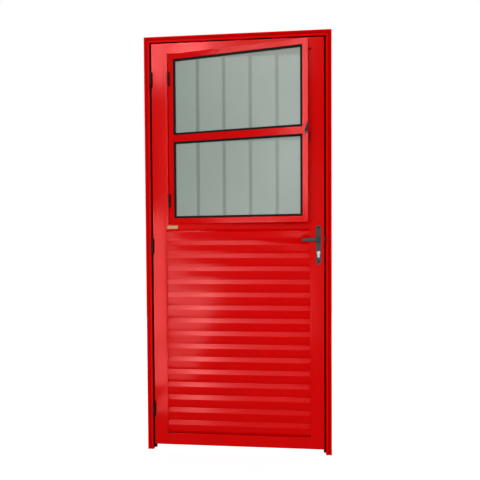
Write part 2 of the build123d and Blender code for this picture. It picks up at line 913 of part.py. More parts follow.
# Sash hinges: fixed leaves on the strip, moving leaves with the pin on the sash
strip_plate = (strip_right + plate_seat, strip_right + plate_seat + sash_hinge_plate)
sash_plate = (sash_left - plate_seat - sash_hinge_plate, sash_left - plate_seat)
sash_plate_y = (sash_hinge_neck, sash_hinge_plate_back)
with BuildPart() as strip_leaves:
    for z in sash_hinge_zs:
        low, lower, upper, high = knuckles(z, sash_hinge_tall)
        block(strip_plate, sash_plate_y, (low, high))
        for ends in ((low, lower - knuckle_gap), (upper + knuckle_gap, high)):
            block(strip_plate, (sash_axis_y, sash_hinge_neck + neck_lap), ends)
            knuckle(sash_axis_x, sash_axis_y, ends, sash_hinge_r)
        hole = sash_hinge_pin_r + pin_clearance
        upright_bore(sash_axis_x, sash_axis_y, (low, high), hole)
save(strip_leaves.part, "sash_hinge_strip_leaves")

# Sash, drawn shut and then turned open about its hinge axis
to_axis = Pos(sash_axis_x, sash_axis_y, 0)
swing = to_axis * Rot(0, 0, -sash_open) * to_axis.inverse()


def save_sash(part, label):
    """Turns a piece of the shut sash to the pose ajar and writes it."""
    save(swing * part, label)


with BuildPart() as stile:
    upright_tube((sash_left, sash_inner[0]), sash_y, (sash_low, sash_high), sash_wall)
save_sash(stile.part, "sash_stile_hinge")

with BuildPart() as stile:
    upright_tube((sash_inner[1], sash_right), sash_y, (sash_low, sash_high), sash_wall)
    hole_y = (leaf_front - cut_reach, sash_back + cut_reach)
    deep_bore(keeper_x, hole_y, keeper_z, latch_rod_r + latch_rod_fit)
save_sash(stile.part, "sash_stile_free")

mid_low = sash_mid_z - sash_mid_face / 2
mid_high = sash_mid_z + sash_mid_face / 2
panes = ((sash_low + sash_face_low, mid_low), (mid_high, sash_high - sash_face))
sash_rails = {
    "sash_rail_bottom": (sash_low, panes[0][0]),
    "sash_rail_mid": (mid_low, mid_high),
    "sash_rail_top": (panes[1][1], sash_high),
}
sash_rail_x = (sash_inner[0] + butt_gap, sash_inner[1] - butt_gap)
for name, ends in sash_rails.items():
    with BuildPart() as rail:
        level_tube(sash_rail_x, sash_y, ends, sash_wall)
    save_sash(rail.part, name)

glass_mid = (leaf_front + sash_back) / 2
glass_y = (glass_mid - glass_thick / 2, glass_mid + glass_thick / 2)
gasket_y = (leaf_front + gasket_sink, sash_back - gasket_sink)


def within(ends, inset):
    """A pair of places moved inwards by the inset."""
    return ends[0] + inset, ends[1] - inset


with BuildPart() as gaskets:
    for pane in panes:
        edge = gasket_slip + gasket_face
        groove = gasket_slip + glass_edge - seat
        block(within(sash_inner, gasket_slip), gasket_y, within(pane, gasket_slip))
        block(within(sash_inner, edge), gasket_y, within(pane, edge), Mode.SUBTRACT)
        glass_room = within(glass_y, -seat)
        block(within(sash_inner, groove), glass_room, within(pane, groove), Mode.SUBTRACT)
save_sash(gaskets.part, "sash_gaskets")

with BuildPart() as glass:
    for pane in panes:
        edge = gasket_slip + glass_edge
        block(within(sash_inner, edge), glass_y, within(pane, edge))
save_sash(glass.part, "sash_glass")

with BuildPart() as sash_leaves:
    for z in sash_hinge_zs:
        low, lower, upper, high = knuckles(z, sash_hinge_tall)
        ends = (lower + knuckle_gap, upper - knuckle_gap)
        block(sash_plate, sash_plate_y, (low, high))
        block(sash_plate, (sash_axis_y, sash_hinge_neck + neck_lap), ends)
        knuckle(sash_axis_x, sash_axis_y, ends, sash_hinge_r)
        pin_z = (low - sash_hinge_pin_rise, high + sash_hinge_pin_rise)
        upright_pin(sash_axis_x, sash_axis_y, pin_z, sash_hinge_pin_r)
save_sash(sash_leaves.part, "sash_hinge_leaves")

# Turning latch of the sash: body on the free stile, lever in front, T hook behind
boss_front = leaf_front - latch_boss_out
body_back = leaf_front - plate_seat
with BuildPart() as body:
    with BuildSketch(Plane.XZ.offset(-body_back)):
        with Locations((keeper_x + latch_body_shift, keeper_z + latch_body_up)):
            RectangleRounded(latch_body_wide, latch_body_tall, latch_body_corner)
    extrude(amount=latch_body_thick)
    boss_y = (boss_front, leaf_front - latch_body_thick)
    deep_bar(keeper_x, boss_y, keeper_z, latch_boss_r, boss_sides)
    bore_y = (boss_front - cut_reach, leaf_front + cut_reach)
    deep_bore(keeper_x, bore_y, keeper_z, latch_rod_r + pin_clearance)
save_sash(body.part, "sash_latch_body")

lever_back = boss_front - slip
with BuildPart() as lever:
    rod_y = (lever_back, sash_back + latch_rod_reach)
    deep_bar(keeper_x, rod_y, keeper_z, latch_rod_r, bore_sides)
    with BuildSketch(Plane.XZ.offset(-lever_back)):
        with Locations((keeper_x, keeper_z)):
            Circle(latch_eye_r)
        grip = (keeper_x + latch_lever_shift, keeper_z + latch_lever_up)
        with Locations(Location(grip, latch_lever_lean)):
            SlotOverall(latch_lever_long, latch_lever_wide)
    extrude(amount=latch_lever_thick)
    hook_front = stop_front + hook_behind
    block(
        (keeper_x - hook_wide / 2, keeper_x + hook_wide / 2),
        (hook_front, hook_front + hook_thick),
        (keeper_z - hook_tall / 2, keeper_z + hook_tall / 2),
    )
save_sash(lever.part, "sash_latch_lever")

# Lock in the lock stile
case_x = (leaf_right - case_reach, leaf_right - faceplate_thick - slip)
case_y = (leaf_mid_y - case_thick / 2, leaf_mid_y + case_thick / 2)
case_z = (spindle_z - case_down, spindle_z + case_up)
with BuildPart() as case:
    block(case_x, case_y, case_z)
    block(
        within(case_x, case_wall), within(case_y, case_wall), within(case_z, case_wall), Mode.SUBTRACT
    )
    deep_bore(handle_x, through_y, spindle_z, lever_neck_r + lever_neck_fit)
    cylinder_opening(through_y, case_fit)
    deep_bore(handle_x, through_y, handle_screw_zs[0], handle_screw_hole_r, screw_sides)
    for z in (latch_z, bolt_z):
        bolt_opening((case_x[1] - 2 * case_wall, case_x[1]), z, slip)
save(case.part, "lock_case")

faceplate_x = (leaf_right - faceplate_thick, leaf_right)
faceplate_side = faceplate_wide / 2
with BuildPart() as faceplate:
    block(
        faceplate_x,
        (leaf_mid_y - faceplate_side, leaf_mid_y + faceplate_side),
        within((face_low, face_high), faceplate_slot_fit),
    )
    for z in (latch_z, bolt_z):
        bolt_opening(faceplate_x, z, slip)
save(faceplate.part, "lock_faceplate")

# Latch bolt with a bevel on the side that meets the strike first
latch_tail = handle_x + follower_r + follower_gap + latch_out
latch_tip = leaf_right + latch_out
bolt_y = (leaf_mid_y - latch_deep / 2, leaf_mid_y + latch_deep / 2)
with BuildPart() as latch:
    with BuildSketch(Plane.XY.offset(latch_z - latch_tall / 2)):
        outline(
            [
                (latch_tail, bolt_y[0]),
                (latch_tip, bolt_y[0]),
                (latch_tip, bolt_y[0] + latch_nose),
                (leaf_right + latch_lead, bolt_y[1]),
                (latch_tail, bolt_y[1]),
            ]
        )
    extrude(amount=latch_tall)
save(latch.part, "latch_bolt")

bolt_end = leaf_right - bolt_inset
with BuildPart() as dead_bolt:
    bolt_z_ends = (bolt_z - latch_tall / 2, bolt_z + latch_tall / 2)
    block((bolt_end - bolt_long, bolt_end), bolt_y, bolt_z_ends)
save(dead_bolt.part, "dead_bolt")

# Profile cylinder and its plugs with the cam between them
cylinder_y = (leaf_front - plate_thick - cylinder_out, leaf_back + plate_thick + cylinder_out)
cylinder_long = cylinder_y[1] - cylinder_y[0]
cylinder_foot = cylinder_z - cylinder_drop + cylinder_web / 2
with BuildPart() as cylinder:
    with BuildSketch(Plane.XZ.offset(-cylinder_y[0])):
        with Locations((handle_x, cylinder_z)):
            RegularPolygon(cylinder_r, round_sides)
        with Locations((handle_x, (cylinder_z + cylinder_foot) / 2)):
            Rectangle(cylinder_web, cylinder_z - cylinder_foot)
        with Locations((handle_x, cylinder_foot)):
            RegularPolygon(cylinder_web / 2, boss_sides)
        with Locations((handle_x, cylinder_z)):
            plug_bore_r = plug_r + pin_clearance
            RegularPolygon(plug_bore_r, round_sides, major_radius=False, mode=Mode.SUBTRACT)
    extrude(amount=-cylinder_long)
    with Locations((handle_x, leaf_mid_y, cylinder_z)):
        Box(2 * cylinder_web, cylinder_cut_wide, cylinder_cut_tall, mode=Mode.SUBTRACT)
save(cylinder.part, "cylinder_body")

with BuildPart() as plug:
    deep_bar(handle_x, cylinder_y, cylinder_z, plug_r, round_sides)
    cam_y = (leaf_mid_y - cam_thick / 2, leaf_mid_y + cam_thick / 2)
    deep_pin(handle_x, cam_y, cylinder_z, plug_r + cam_hub)
    block(
        (handle_x - cam_wide / 2, handle_x + cam_wide / 2), cam_y, (cylinder_z, cylinder_z + cam_rise)
    )
    for y in cylinder_y:
        with Locations((handle_x, y, cylinder_z - keyway_drop)):
            Box(keyway_wide, 2 * keyway_deep, keyway_tall, mode=Mode.SUBTRACT)
save(plug.part, "cylinder_plug")

# Handle plates, through screws, levers and spindle
for label, face_y, outwards in (
    ("backplate_inner", leaf_front, -1),
    ("backplate_outer", leaf_back, 1),
):
    with BuildPart() as backplate:
        with BuildSketch(Plane.XZ.offset(-face_y)):
            with Locations((handle_x, (plate_low + plate_high) / 2)):
                Rectangle(plate_face, plate_high - plate_low - plate_face)
            for z in (plate_low + plate_face / 2, plate_high - plate_face / 2):
                with Locations((handle_x, z)):
                    RegularPolygon(plate_face / 2, round_sides)
        extrude(amount=-outwards * plate_thick)
        show_face = backplate.faces().sort_by(Axis.Y)[0 if outwards < 0 else -1]
        chamfer(show_face.outer_wire().edges(), plate_ease)
        deep_bore(handle_x, through_y, spindle_z, lever_neck_r + lever_neck_fit, round_sides)
        deep_bore(handle_x, through_y, cylinder_z, cylinder_r + cylinder_fit, round_sides)
        side = cylinder_web / 2 + cylinder_fit
        slot_z = (cylinder_foot, cylinder_z)
        block((handle_x - side, handle_x + side), through_y, slot_z, Mode.SUBTRACT)
        deep_bore(handle_x, through_y, cylinder_foot, side, boss_sides)
        for z in handle_screw_zs:
            deep_bore(handle_x, through_y, z, handle_screw_hole_r, screw_sides)
    save(backplate.part, label)

with BuildPart() as handle_screws:
    for z in handle_screw_zs:
        deep_bar(handle_x, through_y, z, handle_screw_r, screw_sides)
        for face_y, outwards in ((leaf_front, -1), (leaf_back, 1)):
            foot = face_y + outwards * (plate_thick + seat)
            end = face_y + outwards * (plate_thick + handle_head_rise)
            deep_bar(handle_x, (foot, end), z, handle_head_r, boss_sides)
save(handle_screws.part, "handle_screws")

for label, face_y, outwards in (
    ("lever_inner", leaf_front - plate_thick, -1),
    ("lever_outer", leaf_back + plate_thick, 1),
):
    with BuildPart() as lever:
        neck_root = face_y - outwards * lever_neck_in
        grip_root = face_y + outwards * (lever_off - lever_thick / 2)
        tip_x = handle_x - lever_reach
        rise = lever_rise / 2
        with BuildSketch(Plane.XZ.offset(-grip_root)):
            outline(
                [
                    (handle_x + lever_neck_r, spindle_z + lever_root_half),
                    (handle_x + lever_neck_r, spindle_z - lever_root_half),
                    (handle_x - lever_shoulder, spindle_z - rise),
                    (tip_x + lever_tip_under, spindle_z - rise + lever_tip_rise),
                    (tip_x, spindle_z - lever_tip_low),
                    (tip_x, spindle_z + lever_tip_high),
                    (tip_x + lever_tip_over, spindle_z + rise),
                    (handle_x - lever_shoulder, spindle_z + rise),
                ]
            )
        extrude(amount=-outwards * lever_thick)
        faces = lever.faces().sort_by(Axis.Y)
        chamfer(faces[0].outer_wire().edges() + faces[-1].outer_wire().edges(), lever_ease)
        neck_y = (neck_root, grip_root + outwards * lever_neck_lap)
        deep_bar(handle_x, neck_y, spindle_z, lever_neck_r, round_sides)
        socket = (spindle_side + spindle_fit) / 2
        block(
            (handle_x - socket, handle_x + socket),
            (face_y - (lever_off - lever_thick), face_y + (lever_off - lever_thick)),
            (spindle_z - socket, spindle_z + socket),
            Mode.SUBTRACT,
        )
    save(lever.part, label)

spindle_end = leaf_thick / 2 + plate_thick + lever_off - lever_thick - spindle_short
with BuildPart() as spindle:
    with Locations((handle_x, leaf_mid_y, spindle_z)):
        Box(spindle_side, 2 * spindle_end, spindle_side)
    follower_y = (leaf_mid_y - follower_deep / 2, leaf_mid_y + follower_deep / 2)
    deep_pin(handle_x, follower_y, spindle_z, follower_r)
save(spindle.part, "lever_spindle")
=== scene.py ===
"""Looks of a red powder-coated aluminium entry door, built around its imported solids."""

import json
import logging
import math
from dataclasses import dataclass, field, replace
from enum import Enum

import bmesh
import bpy
import numpy as np
from mathutils import Matrix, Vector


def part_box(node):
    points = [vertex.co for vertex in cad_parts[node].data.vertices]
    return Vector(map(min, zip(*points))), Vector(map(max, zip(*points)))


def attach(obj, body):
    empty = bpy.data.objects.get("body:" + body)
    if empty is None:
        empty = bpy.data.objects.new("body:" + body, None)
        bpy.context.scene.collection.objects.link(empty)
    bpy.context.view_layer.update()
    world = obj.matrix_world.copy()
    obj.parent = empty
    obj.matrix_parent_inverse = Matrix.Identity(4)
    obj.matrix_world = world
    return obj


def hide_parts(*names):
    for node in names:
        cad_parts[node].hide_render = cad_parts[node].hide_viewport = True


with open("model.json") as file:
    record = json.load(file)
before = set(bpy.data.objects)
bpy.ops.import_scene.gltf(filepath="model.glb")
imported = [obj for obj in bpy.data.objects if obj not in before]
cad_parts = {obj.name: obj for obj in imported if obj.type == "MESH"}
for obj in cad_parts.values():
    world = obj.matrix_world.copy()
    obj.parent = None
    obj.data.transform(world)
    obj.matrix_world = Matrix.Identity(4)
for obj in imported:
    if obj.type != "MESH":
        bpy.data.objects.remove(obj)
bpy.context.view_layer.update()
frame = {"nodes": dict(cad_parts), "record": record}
log = logging.getLogger("door")

MM = 0.001
IMAGE_SIDE = 480
TONE_LOW, TONE_HIGH = 0.3, 0.7
FINE_DETAIL, SLOW_DETAIL = 2.0, 3.0
SKIN_GRAIN, SKIN_WAVE = 900.0, 9.0
DRAWN_ACROSS, DRAWN_ALONG = 2500.0, 60.0
EASE_SHARE = 0.3
MERGE_REACH = 1e-6
HINGE_APART = 100.0 * MM

# Groove along the frame, counted inwards from its outer edge; the frame coat lays painted shade
# in it
FRAME_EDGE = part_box("head")[1]
GROOVE_MIDDLE = 12.75 * MM
GROOVE_HALF = 5.0 * MM
GROOVE_REACH = 6.0 * MM


class Side(Enum):
    """Which face of the leaf a piece stands on: the one towards -Y or the one towards +Y."""

    INNER = -1
    OUTER = 1


# Shader node groups shared by the finishes


def new_group(name: str, inputs: dict[str, float], outputs: dict[str, str]) -> bpy.types.NodeTree:
    """Starts a shader node group with named sockets.

    Args:
        name: name of the group.
        inputs: float inputs with their defaults.
        outputs: output names with their socket types.

    Returns:
        The empty group with its input and output nodes placed.
    """
    tree = bpy.data.node_groups.new(name, "ShaderNodeTree")
    for label, value in inputs.items():
        socket = tree.interface.new_socket(label, in_out="INPUT", socket_type="NodeSocketFloat")
        socket.default_value = value
    for label, kind in outputs.items():
        tree.interface.new_socket(label, in_out="OUTPUT", socket_type=kind)
    tree.nodes.new("NodeGroupInput").name = "in"
    tree.nodes.new("NodeGroupOutput").name = "out"
    return tree


def make_skin_group() -> bpy.types.NodeTree:
    """Skin of a coating: a fine noise for its grain and a coarse one for its slow waves.

    Returns:
        A group with the inputs Grain and Wave (noise scales) and the outputs Height and Tone.
    """
    tree = new_group(
        "coat_skin",
        {"Grain": SKIN_GRAIN, "Wave": SKIN_WAVE},
        {"Height": "NodeSocketFloat", "Tone": "NodeSocketFloat"},
    )
    place = tree.nodes.new("ShaderNodeTexCoord")
    fine = tree.nodes.new("ShaderNodeTexNoise")
    fine.inputs["Detail"].default_value = FINE_DETAIL
    slow = tree.nodes.new("ShaderNodeTexNoise")
    slow.inputs["Detail"].default_value = SLOW_DETAIL
    for noise, label in ((fine, "Grain"), (slow, "Wave")):
        tree.links.new(place.outputs["Object"], noise.inputs["Vector"])
        tree.links.new(tree.nodes["in"].outputs[label], noise.inputs["Scale"])
    tree.links.new(fine.outputs["Fac"], tree.nodes["out"].inputs["Height"])
    tree.links.new(slow.outputs["Fac"], tree.nodes["out"].inputs["Tone"])
    return tree


def make_grain_group() -> bpy.types.NodeTree:
    """Drawn metal grain: a noise stretched along one axis.

    Returns:
        A group with the inputs Across and Along (noise scales) and the outputs Height and Tone.
    """
    tree = new_group(
        "drawn_grain",
        {"Across": DRAWN_ACROSS, "Along": DRAWN_ALONG},
        {"Height": "NodeSocketFloat", "Tone": "NodeSocketFloat"},
    )
    place = tree.nodes.new("ShaderNodeTexCoord")
    spread = tree.nodes.new("ShaderNodeCombineXYZ")
    tree.links.new(tree.nodes["in"].outputs["Across"], spread.inputs["X"])
    tree.links.new(tree.nodes["in"].outputs["Across"], spread.inputs["Y"])
    tree.links.new(tree.nodes["in"].outputs["Along"], spread.inputs["Z"])
    scaled = tree.nodes.new("ShaderNodeVectorMath")
    scaled.operation = "MULTIPLY"
    tree.links.new(place.outputs["Object"], scaled.inputs[0])
    tree.links.new(spread.outputs["Vector"], scaled.inputs[1])
    noise = tree.nodes.new("ShaderNodeTexNoise")
    noise.inputs["Scale"].default_value = 1.0
    noise.inputs["Detail"].default_value = SLOW_DETAIL
    tree.links.new(scaled.outputs["Vector"], noise.inputs["Vector"])
    tree.links.new(noise.outputs["Fac"], tree.nodes["out"].inputs["Height"])
    tree.links.new(noise.outputs["Fac"], tree.nodes["out"].inputs["Tone"])
    return tree


def make_groove_shade_group() -> bpy.types.NodeTree:
    """Mask of the painted shade in the channel along the frame, mitred as the frame is.

    The distance from the outer edge is the smaller of half the width less |x| and the height
    less z. The mask is 1 where a point lies in that channel, near the front face, and 0
    elsewhere: it marks where painted shade darkens the coat.

    Returns:
        A group with the output Groove.
    """
    tree = new_group("frame_groove_painted_shade", {}, {"Groove": "NodeSocketFloat"})
    place = tree.nodes.new("ShaderNodeTexCoord")
    split = tree.nodes.new("ShaderNodeSeparateXYZ")
    tree.links.new(place.outputs["Object"], split.inputs["Vector"])

    def step(operation: str, *values: object) -> bpy.types.NodeSocket:
        """Adds one maths node.

        Args:
            operation: its operation.
            values: sockets or numbers for its inputs.

        Returns:
            Its output.
        """
        node = tree.nodes.new("ShaderNodeMath")
        node.operation = operation
        for socket, value in zip(node.inputs, values):
            if isinstance(value, bpy.types.NodeSocket):
                tree.links.new(value, socket)
            else:
                socket.default_value = value
        return node.outputs[0]

    side = step("SUBTRACT", FRAME_EDGE[0], step("ABSOLUTE", split.outputs["X"]))
    top = step("SUBTRACT", FRAME_EDGE[2], split.outputs["Z"])
    edge = step("MINIMUM", side, top)
    band = step("COMPARE", edge, GROOVE_MIDDLE, GROOVE_HALF)
    front = step("LESS_THAN", split.outputs["Y"], GROOVE_REACH)
    tree.links.new(step("MULTIPLY", band, front), tree.nodes["out"].inputs["Groove"])
    return tree


SKIN = make_skin_group()
GRAIN = make_grain_group()
# Mask of painted shade: the frame's channel is coloured darker where shade falls
GROOVE_SHADE_MASK = make_groove_shade_group()


@dataclass(frozen=True)
class Finish:
    """A finish: its colour and gloss, and the texture that its group lays over them."""

    name: str
    colour: tuple[float, float, float]
    dark: tuple[float, float, float]
    roughness: float
    metallic: float = 0.0
    specular: float = 0.5
    bump: float = 0.05
    bump_depth: float = 0.00005
    grain: float = SKIN_GRAIN
    wave: float = SKIN_WAVE
    drawn: bool = False
    alpha: float = 1.0
    rough_spread: float = 0.05
    tint: tuple[float, float, float] = (1.0, 1.0, 1.0)
    # Colour of painted shade laid in the frame's channel where shade falls; None for no painted
    # shade
    groove_painted_shade: tuple[float, float, float] | None = None

    def build(self) -> bpy.types.Material:
        """Makes the material: colour and roughness vary slowly, the fine grain bumps the surface.

        Returns:
            The new material.
        """
        material = bpy.data.materials.new(self.name)
        material.use_nodes = True
        tree = material.node_tree
        shader = tree.nodes["Principled BSDF"]
        shader.inputs["Metallic"].default_value = self.metallic
        shader.inputs["Specular IOR Level"].default_value = self.specular
        shader.inputs["Specular Tint"].default_value = (*self.tint, 1.0)
        shader.inputs["Alpha"].default_value = self.alpha
        skin = self.skin(tree)
        tree.links.new(self.tone(tree, skin.outputs["Tone"]), shader.inputs["Base Color"])
        gloss = self.spread(tree, skin.outputs["Tone"])
        gloss.inputs["To Min"].default_value = self.roughness + self.rough_spread
        gloss.inputs["To Max"].default_value = self.roughness
        tree.links.new(gloss.outputs["Result"], shader.inputs["Roughness"])
        bump = tree.nodes.new("ShaderNodeBump")
        bump.inputs["Strength"].default_value = self.bump
        bump.inputs["Distance"].default_value = self.bump_depth
        tree.links.new(skin.outputs["Height"], bump.inputs["Height"])
        tree.links.new(bump.outputs["Normal"], shader.inputs["Normal"])
        return material

    def skin(self, tree: bpy.types.NodeTree) -> bpy.types.Node:
        """Places the group of the drawn grain or of the coating's skin, with its own scales.

        Args:
            tree: the tree of the material.

        Returns:
            The group node.
        """
        skin = tree.nodes.new("ShaderNodeGroup")
        skin.node_tree = GRAIN if self.drawn else SKIN
        if self.drawn:
            skin.inputs["Across"].default_value = self.grain
        else:
            skin.inputs["Grain"].default_value = self.grain
            skin.inputs["Wave"].default_value = self.wave
        return skin

    def spread(self, tree: bpy.types.NodeTree, value: bpy.types.NodeSocket) -> bpy.types.Node:
        """Stretches the middle of the tone's range over 0 to 1, or over its own To values.

        Args:
            tree: the tree of the material.
            value: the tone.

        Returns:
            The range node.
        """
        node = tree.nodes.new("ShaderNodeMapRange")
        node.inputs["From Min"].default_value = TONE_LOW
        node.inputs["From Max"].default_value = TONE_HIGH
        tree.links.new(value, node.inputs["Value"])
        return node

    def tone(self, tree: bpy.types.NodeTree, value: bpy.types.NodeSocket) -> bpy.types.NodeSocket:
        """Mixes the two shades of the colour by the tone, and lays painted shade over them in the
        frame's channel.

        Args:
            tree: the tree of the material.
            value: the tone.

        Returns:
            The socket of the colour.
        """
        tone = tree.nodes.new("ShaderNodeMix")
        tone.data_type = "RGBA"
        tone.inputs["A"].default_value = (*self.dark, 1.0)
        tone.inputs["B"].default_value = (*self.colour, 1.0)
        tree.links.new(self.spread(tree, value).outputs["Result"], tone.inputs["Factor"])
        if not self.groove_painted_shade:
            return tone.outputs["Result"]
        # Painted shade: the mask darkens the colour in the frame's channel
        mask = tree.nodes.new("ShaderNodeGroup")
        mask.node_tree = GROOVE_SHADE_MASK
        shade = tree.nodes.new("ShaderNodeMix")
        shade.data_type = "RGBA"
        shade.inputs["B"].default_value = (*self.groove_painted_shade, 1.0)
        tree.links.new(tone.outputs["Result"], shade.inputs["A"])
        tree.links.new(mask.outputs["Groove"], shade.inputs["Factor"])
        return shade.outputs["Result"]


RED_COAT = Finish(
    name="red_powder_coat",
    colour=(0.64, 0.0, 0.0),
    dark=(0.61, 0.0, 0.0),
    roughness=0.1,
    specular=0.15,
    bump=0.2,
    grain=1400.0,
    tint=(1.0, 0.25, 0.25),
)
PANEL_COAT = replace(
    RED_COAT, name="red_panel_coat", roughness=0.12, specular=0.09, tint=(1.0, 0.42, 0.42)
)
# Painted light: the frame takes a lighter copy of the red coat, brighter than the leaf, standing
# for the brighter light on the frame's face
FRAME_COAT_PAINTED_LIGHT = replace(
    RED_COAT,
    name="red_frame_coat_painted_light",
    colour=(0.76, 0.0, 0.0),
    dark=(0.73, 0.0, 0.0),
    roughness=0.4,
    specular=0.02,
    # Painted shade: the frame's channel is coloured darker where shade falls
    groove_painted_shade=(0.42, 0.0, 0.0),
)
BLACK_COAT = Finish(
    name="black_hinge_coat",
    colour=(0.002, 0.002, 0.002),
    dark=(0.0015, 0.0015, 0.0015),
    roughness=0.45,
    specular=0.06,
    bump=0.3,
)
DARK_HANDLE = Finish(
    name="dark_handle_coat",
    colour=(0.042, 0.050, 0.054),
    dark=(0.034, 0.040, 0.044),
    roughness=0.4,
    specular=0.12,
    bump=0.2,
)
SEAL_RUBBER = Finish(
    name="seal_rubber",
    colour=(0.002, 0.002, 0.002),
    dark=(0.001, 0.001, 0.001),
    roughness=0.6,
    specular=0.05,
    bump=0.4,
    grain=700.0,
)
FROSTED_GLASS = Finish(
    name="frosted_glass",
    colour=(0.190, 0.262, 0.210),
    dark=(0.180, 0.248, 0.200),
    roughness=0.34,
    specular=0.3,
    bump=0.35,
    bump_depth=0.0001,
    grain=420.0,
    wave=4.0,
    alpha=0.69,
)
SATIN_NICKEL = Finish(
    name="satin_nickel",
    colour=(0.44, 0.42, 0.385),
    dark=(0.34, 0.32, 0.29),
    roughness=0.5,
    metallic=0.5,
    bump=0.1,
    drawn=True,
)
PLAIN_STEEL = Finish(
    name="zinc_steel",
    colour=(0.10, 0.10, 0.105),
    dark=(0.07, 0.07, 0.075),
    roughness=0.6,
    metallic=0.4,
    bump=0.15,
    drawn=True,
)
CAST_CLEAT = Finish(
    name="cast_cleat",
    colour=(0.06, 0.05, 0.05),
    dark=(0.04, 0.03, 0.03),
    roughness=0.6,
    specular=0.2,
    bump=0.6,
    grain=300.0,
)
LATCH_GREY = Finish(
    name="latch_grey",
    colour=(0.085, 0.095, 0.10),
    dark=(0.03, 0.035, 0.04),
    roughness=0.5,
    specular=0.3,
    bump=0.3,
    grain=500.0,
)
LATCH_DARK = Finish(
    name="latch_dark",
    colour=(0.008, 0.011, 0.016),
    dark=(0.005, 0.007, 0.010),
    roughness=0.5,
    specular=0.06,
    bump=0.3,
)
BLANK_GOLD = Finish(
    name="blank_gold",
    colour=(0.50, 0.42, 0.16),
    dark=(0.40, 0.34, 0.13),
    roughness=0.6,
    specular=0.1,
    bump=0.1,
    drawn=True,
)

SLOT_FINISHES = {
    "red_coat": RED_COAT,
    "black_coat": BLACK_COAT,
    "handle_coat": DARK_HANDLE,
    "seal_rubber": SEAL_RUBBER,
    "frosted_glass": FROSTED_GLASS,
    "satin_nickel": SATIN_NICKEL,
    "plain_steel": PLAIN_STEEL,
    "cast_cleat": CAST_CLEAT,
    "latch_grey": LATCH_GREY,
    "latch_dark": LATCH_DARK,
}


NODE_FINISHES = {
    "frame_screws": BLACK_COAT,
    "sash_keeper": LATCH_DARK,
    "latch_bolt": CAST_CLEAT,
    "lock_faceplate": CAST_CLEAT,
}
for frame_bar in ("jamb_hinge", "jamb_lock", "head"):
    NODE_FINISHES[frame_bar] = FRAME_COAT_PAINTED_LIGHT
for first_board in (1, 5, 9, 13):
    NODE_FINISHES[f"boards_{first_board}_to_{first_board + 3}"] = PANEL_COAT
for sash_bar in ("stile_free", "rail_top", "rail_mid", "rail_bottom"):
    NODE_FINISHES[f"sash_{sash_bar}"] = PANEL_COAT

UNEASED = {
    "frame_corner_cleats",
    "rail_cleats",
    "frame_screws",
    "leaf_screws",
    "lock_case",
    "lever_spindle",
    "sash_keeper",
    "sash_glass",
}


class Finishes:
    """The materials of the scene, each made once."""

    def __init__(self) -> None:
        """Starts with no material made."""
        self.made: dict[str, bpy.types.Material] = {}

    def get(self, finish: Finish) -> bpy.types.Material:
        """Material of a finish, made on first use.

        Args:
            finish: the finish.

        Returns:
            Its material.
        """
        if finish.name not in self.made:
            self.made[finish.name] = finish.build()
        return self.made[finish.name]


# Surfaces worked out with numpy


def ring_faces(rings: np.ndarray, wrap_rows: bool) -> list[list[int]]:
    """Quads between rings of points, numbered row by row, with the open ends filled.

    Args:
        rings: array of rows, each a closed ring of places.
        wrap_rows: whether the last ring joins the first.

    Returns:
        Vertex numbers of each face.
    """
    rows, columns = rings.shape[:2]
    starts = np.arange(rows if wrap_rows else rows - 1)
    i, j = (a.ravel() for a in np.meshgrid(starts, np.arange(columns), indexing="ij"))
    i1, j1 = (i + 1) % rows, (j + 1) % columns
    corners = [i * columns + j, i * columns + j1, i1 * columns + j1, i1 * columns + j]
    faces = np.stack(corners, 1).tolist()
    if not wrap_rows:
        faces.append(list(range(columns)))
        faces.append(list(range((rows - 1) * columns, rows * columns)))
    return faces


def mesh_object(
    name: str,
    shapes: list[np.ndarray],
    material: bpy.types.Material,
    smooth: float,
    wrap_rows: bool = False,
) -> bpy.types.Object:
    """Object at the origin with its place in its mesh, faces turned outwards.

    Args:
        name: name of the piece.
        shapes: closed shapes, each an array of rings of places in metres.
        material: its material.
        smooth: angle in degrees up to which an edge is shaded smooth.
        wrap_rows: whether the last ring of a shape joins its first.

    Returns:
        The linked object.
    """
    faces, count = [], 0
    for rings in shapes:
        faces += [[count + v for v in face] for face in ring_faces(rings, wrap_rows)]
        count += rings.shape[0] * rings.shape[1]
    points = np.concatenate([rings.reshape(-1, 3) for rings in shapes])
    mesh = bpy.data.meshes.new(name)
    mesh.from_pydata(points.tolist(), [], faces)
    shape = bmesh.new()
    shape.from_mesh(mesh)
    bmesh.ops.remove_doubles(shape, verts=shape.verts, dist=MERGE_REACH)
    bmesh.ops.recalc_face_normals(shape, faces=shape.faces)
    shape.to_mesh(mesh)
    shape.free()
    mesh.materials.append(material)
    mesh.shade_smooth()
    mesh.set_sharp_from_angle(angle=math.radians(smooth))
    item = bpy.data.objects.new(name, mesh)
    bpy.context.scene.collection.objects.link(item)
    return item


def turned(profile: np.ndarray, steps: int) -> np.ndarray:
    """Rings of a turned piece: each profile point (radius, height) goes round the height axis.

    Args:
        profile: radius and height of each ring.
        steps: points in a ring.

    Returns:
        Array of rings by steps by (across, sideways, along).
    """
    angle = np.linspace(0.0, 2 * math.pi, steps, endpoint=False)
    radius, height = profile[:, 0:1], profile[:, 1:2]
    flat = np.ones_like(angle)[None, :]
    return np.stack([radius * np.cos(angle), radius * np.sin(angle), height * flat], 2)


def superellipse(steps: int, power: float) -> np.ndarray:
    """Ring of a rounded rectangle of half size one: |x|^p + |y|^p = 1 at even angles.

    Args:
        steps: points in the ring.
        power: 2 gives a circle, more gives squarer corners.

    Returns:
        Array of steps by two.
    """
    angle = np.linspace(0.0, 2 * math.pi, steps, endpoint=False)
    c, s = np.cos(angle), np.sin(angle)
    grow = (np.abs(c) ** power + np.abs(s) ** power) ** (-1.0 / power)
    return np.stack([grow * c, grow * s], 1)


def joint_record(name: str) -> dict:
    """What the frame says of one joint."""
    return next(j for j in frame["record"]["behaviour"]["joints"] if j["name"] == name)


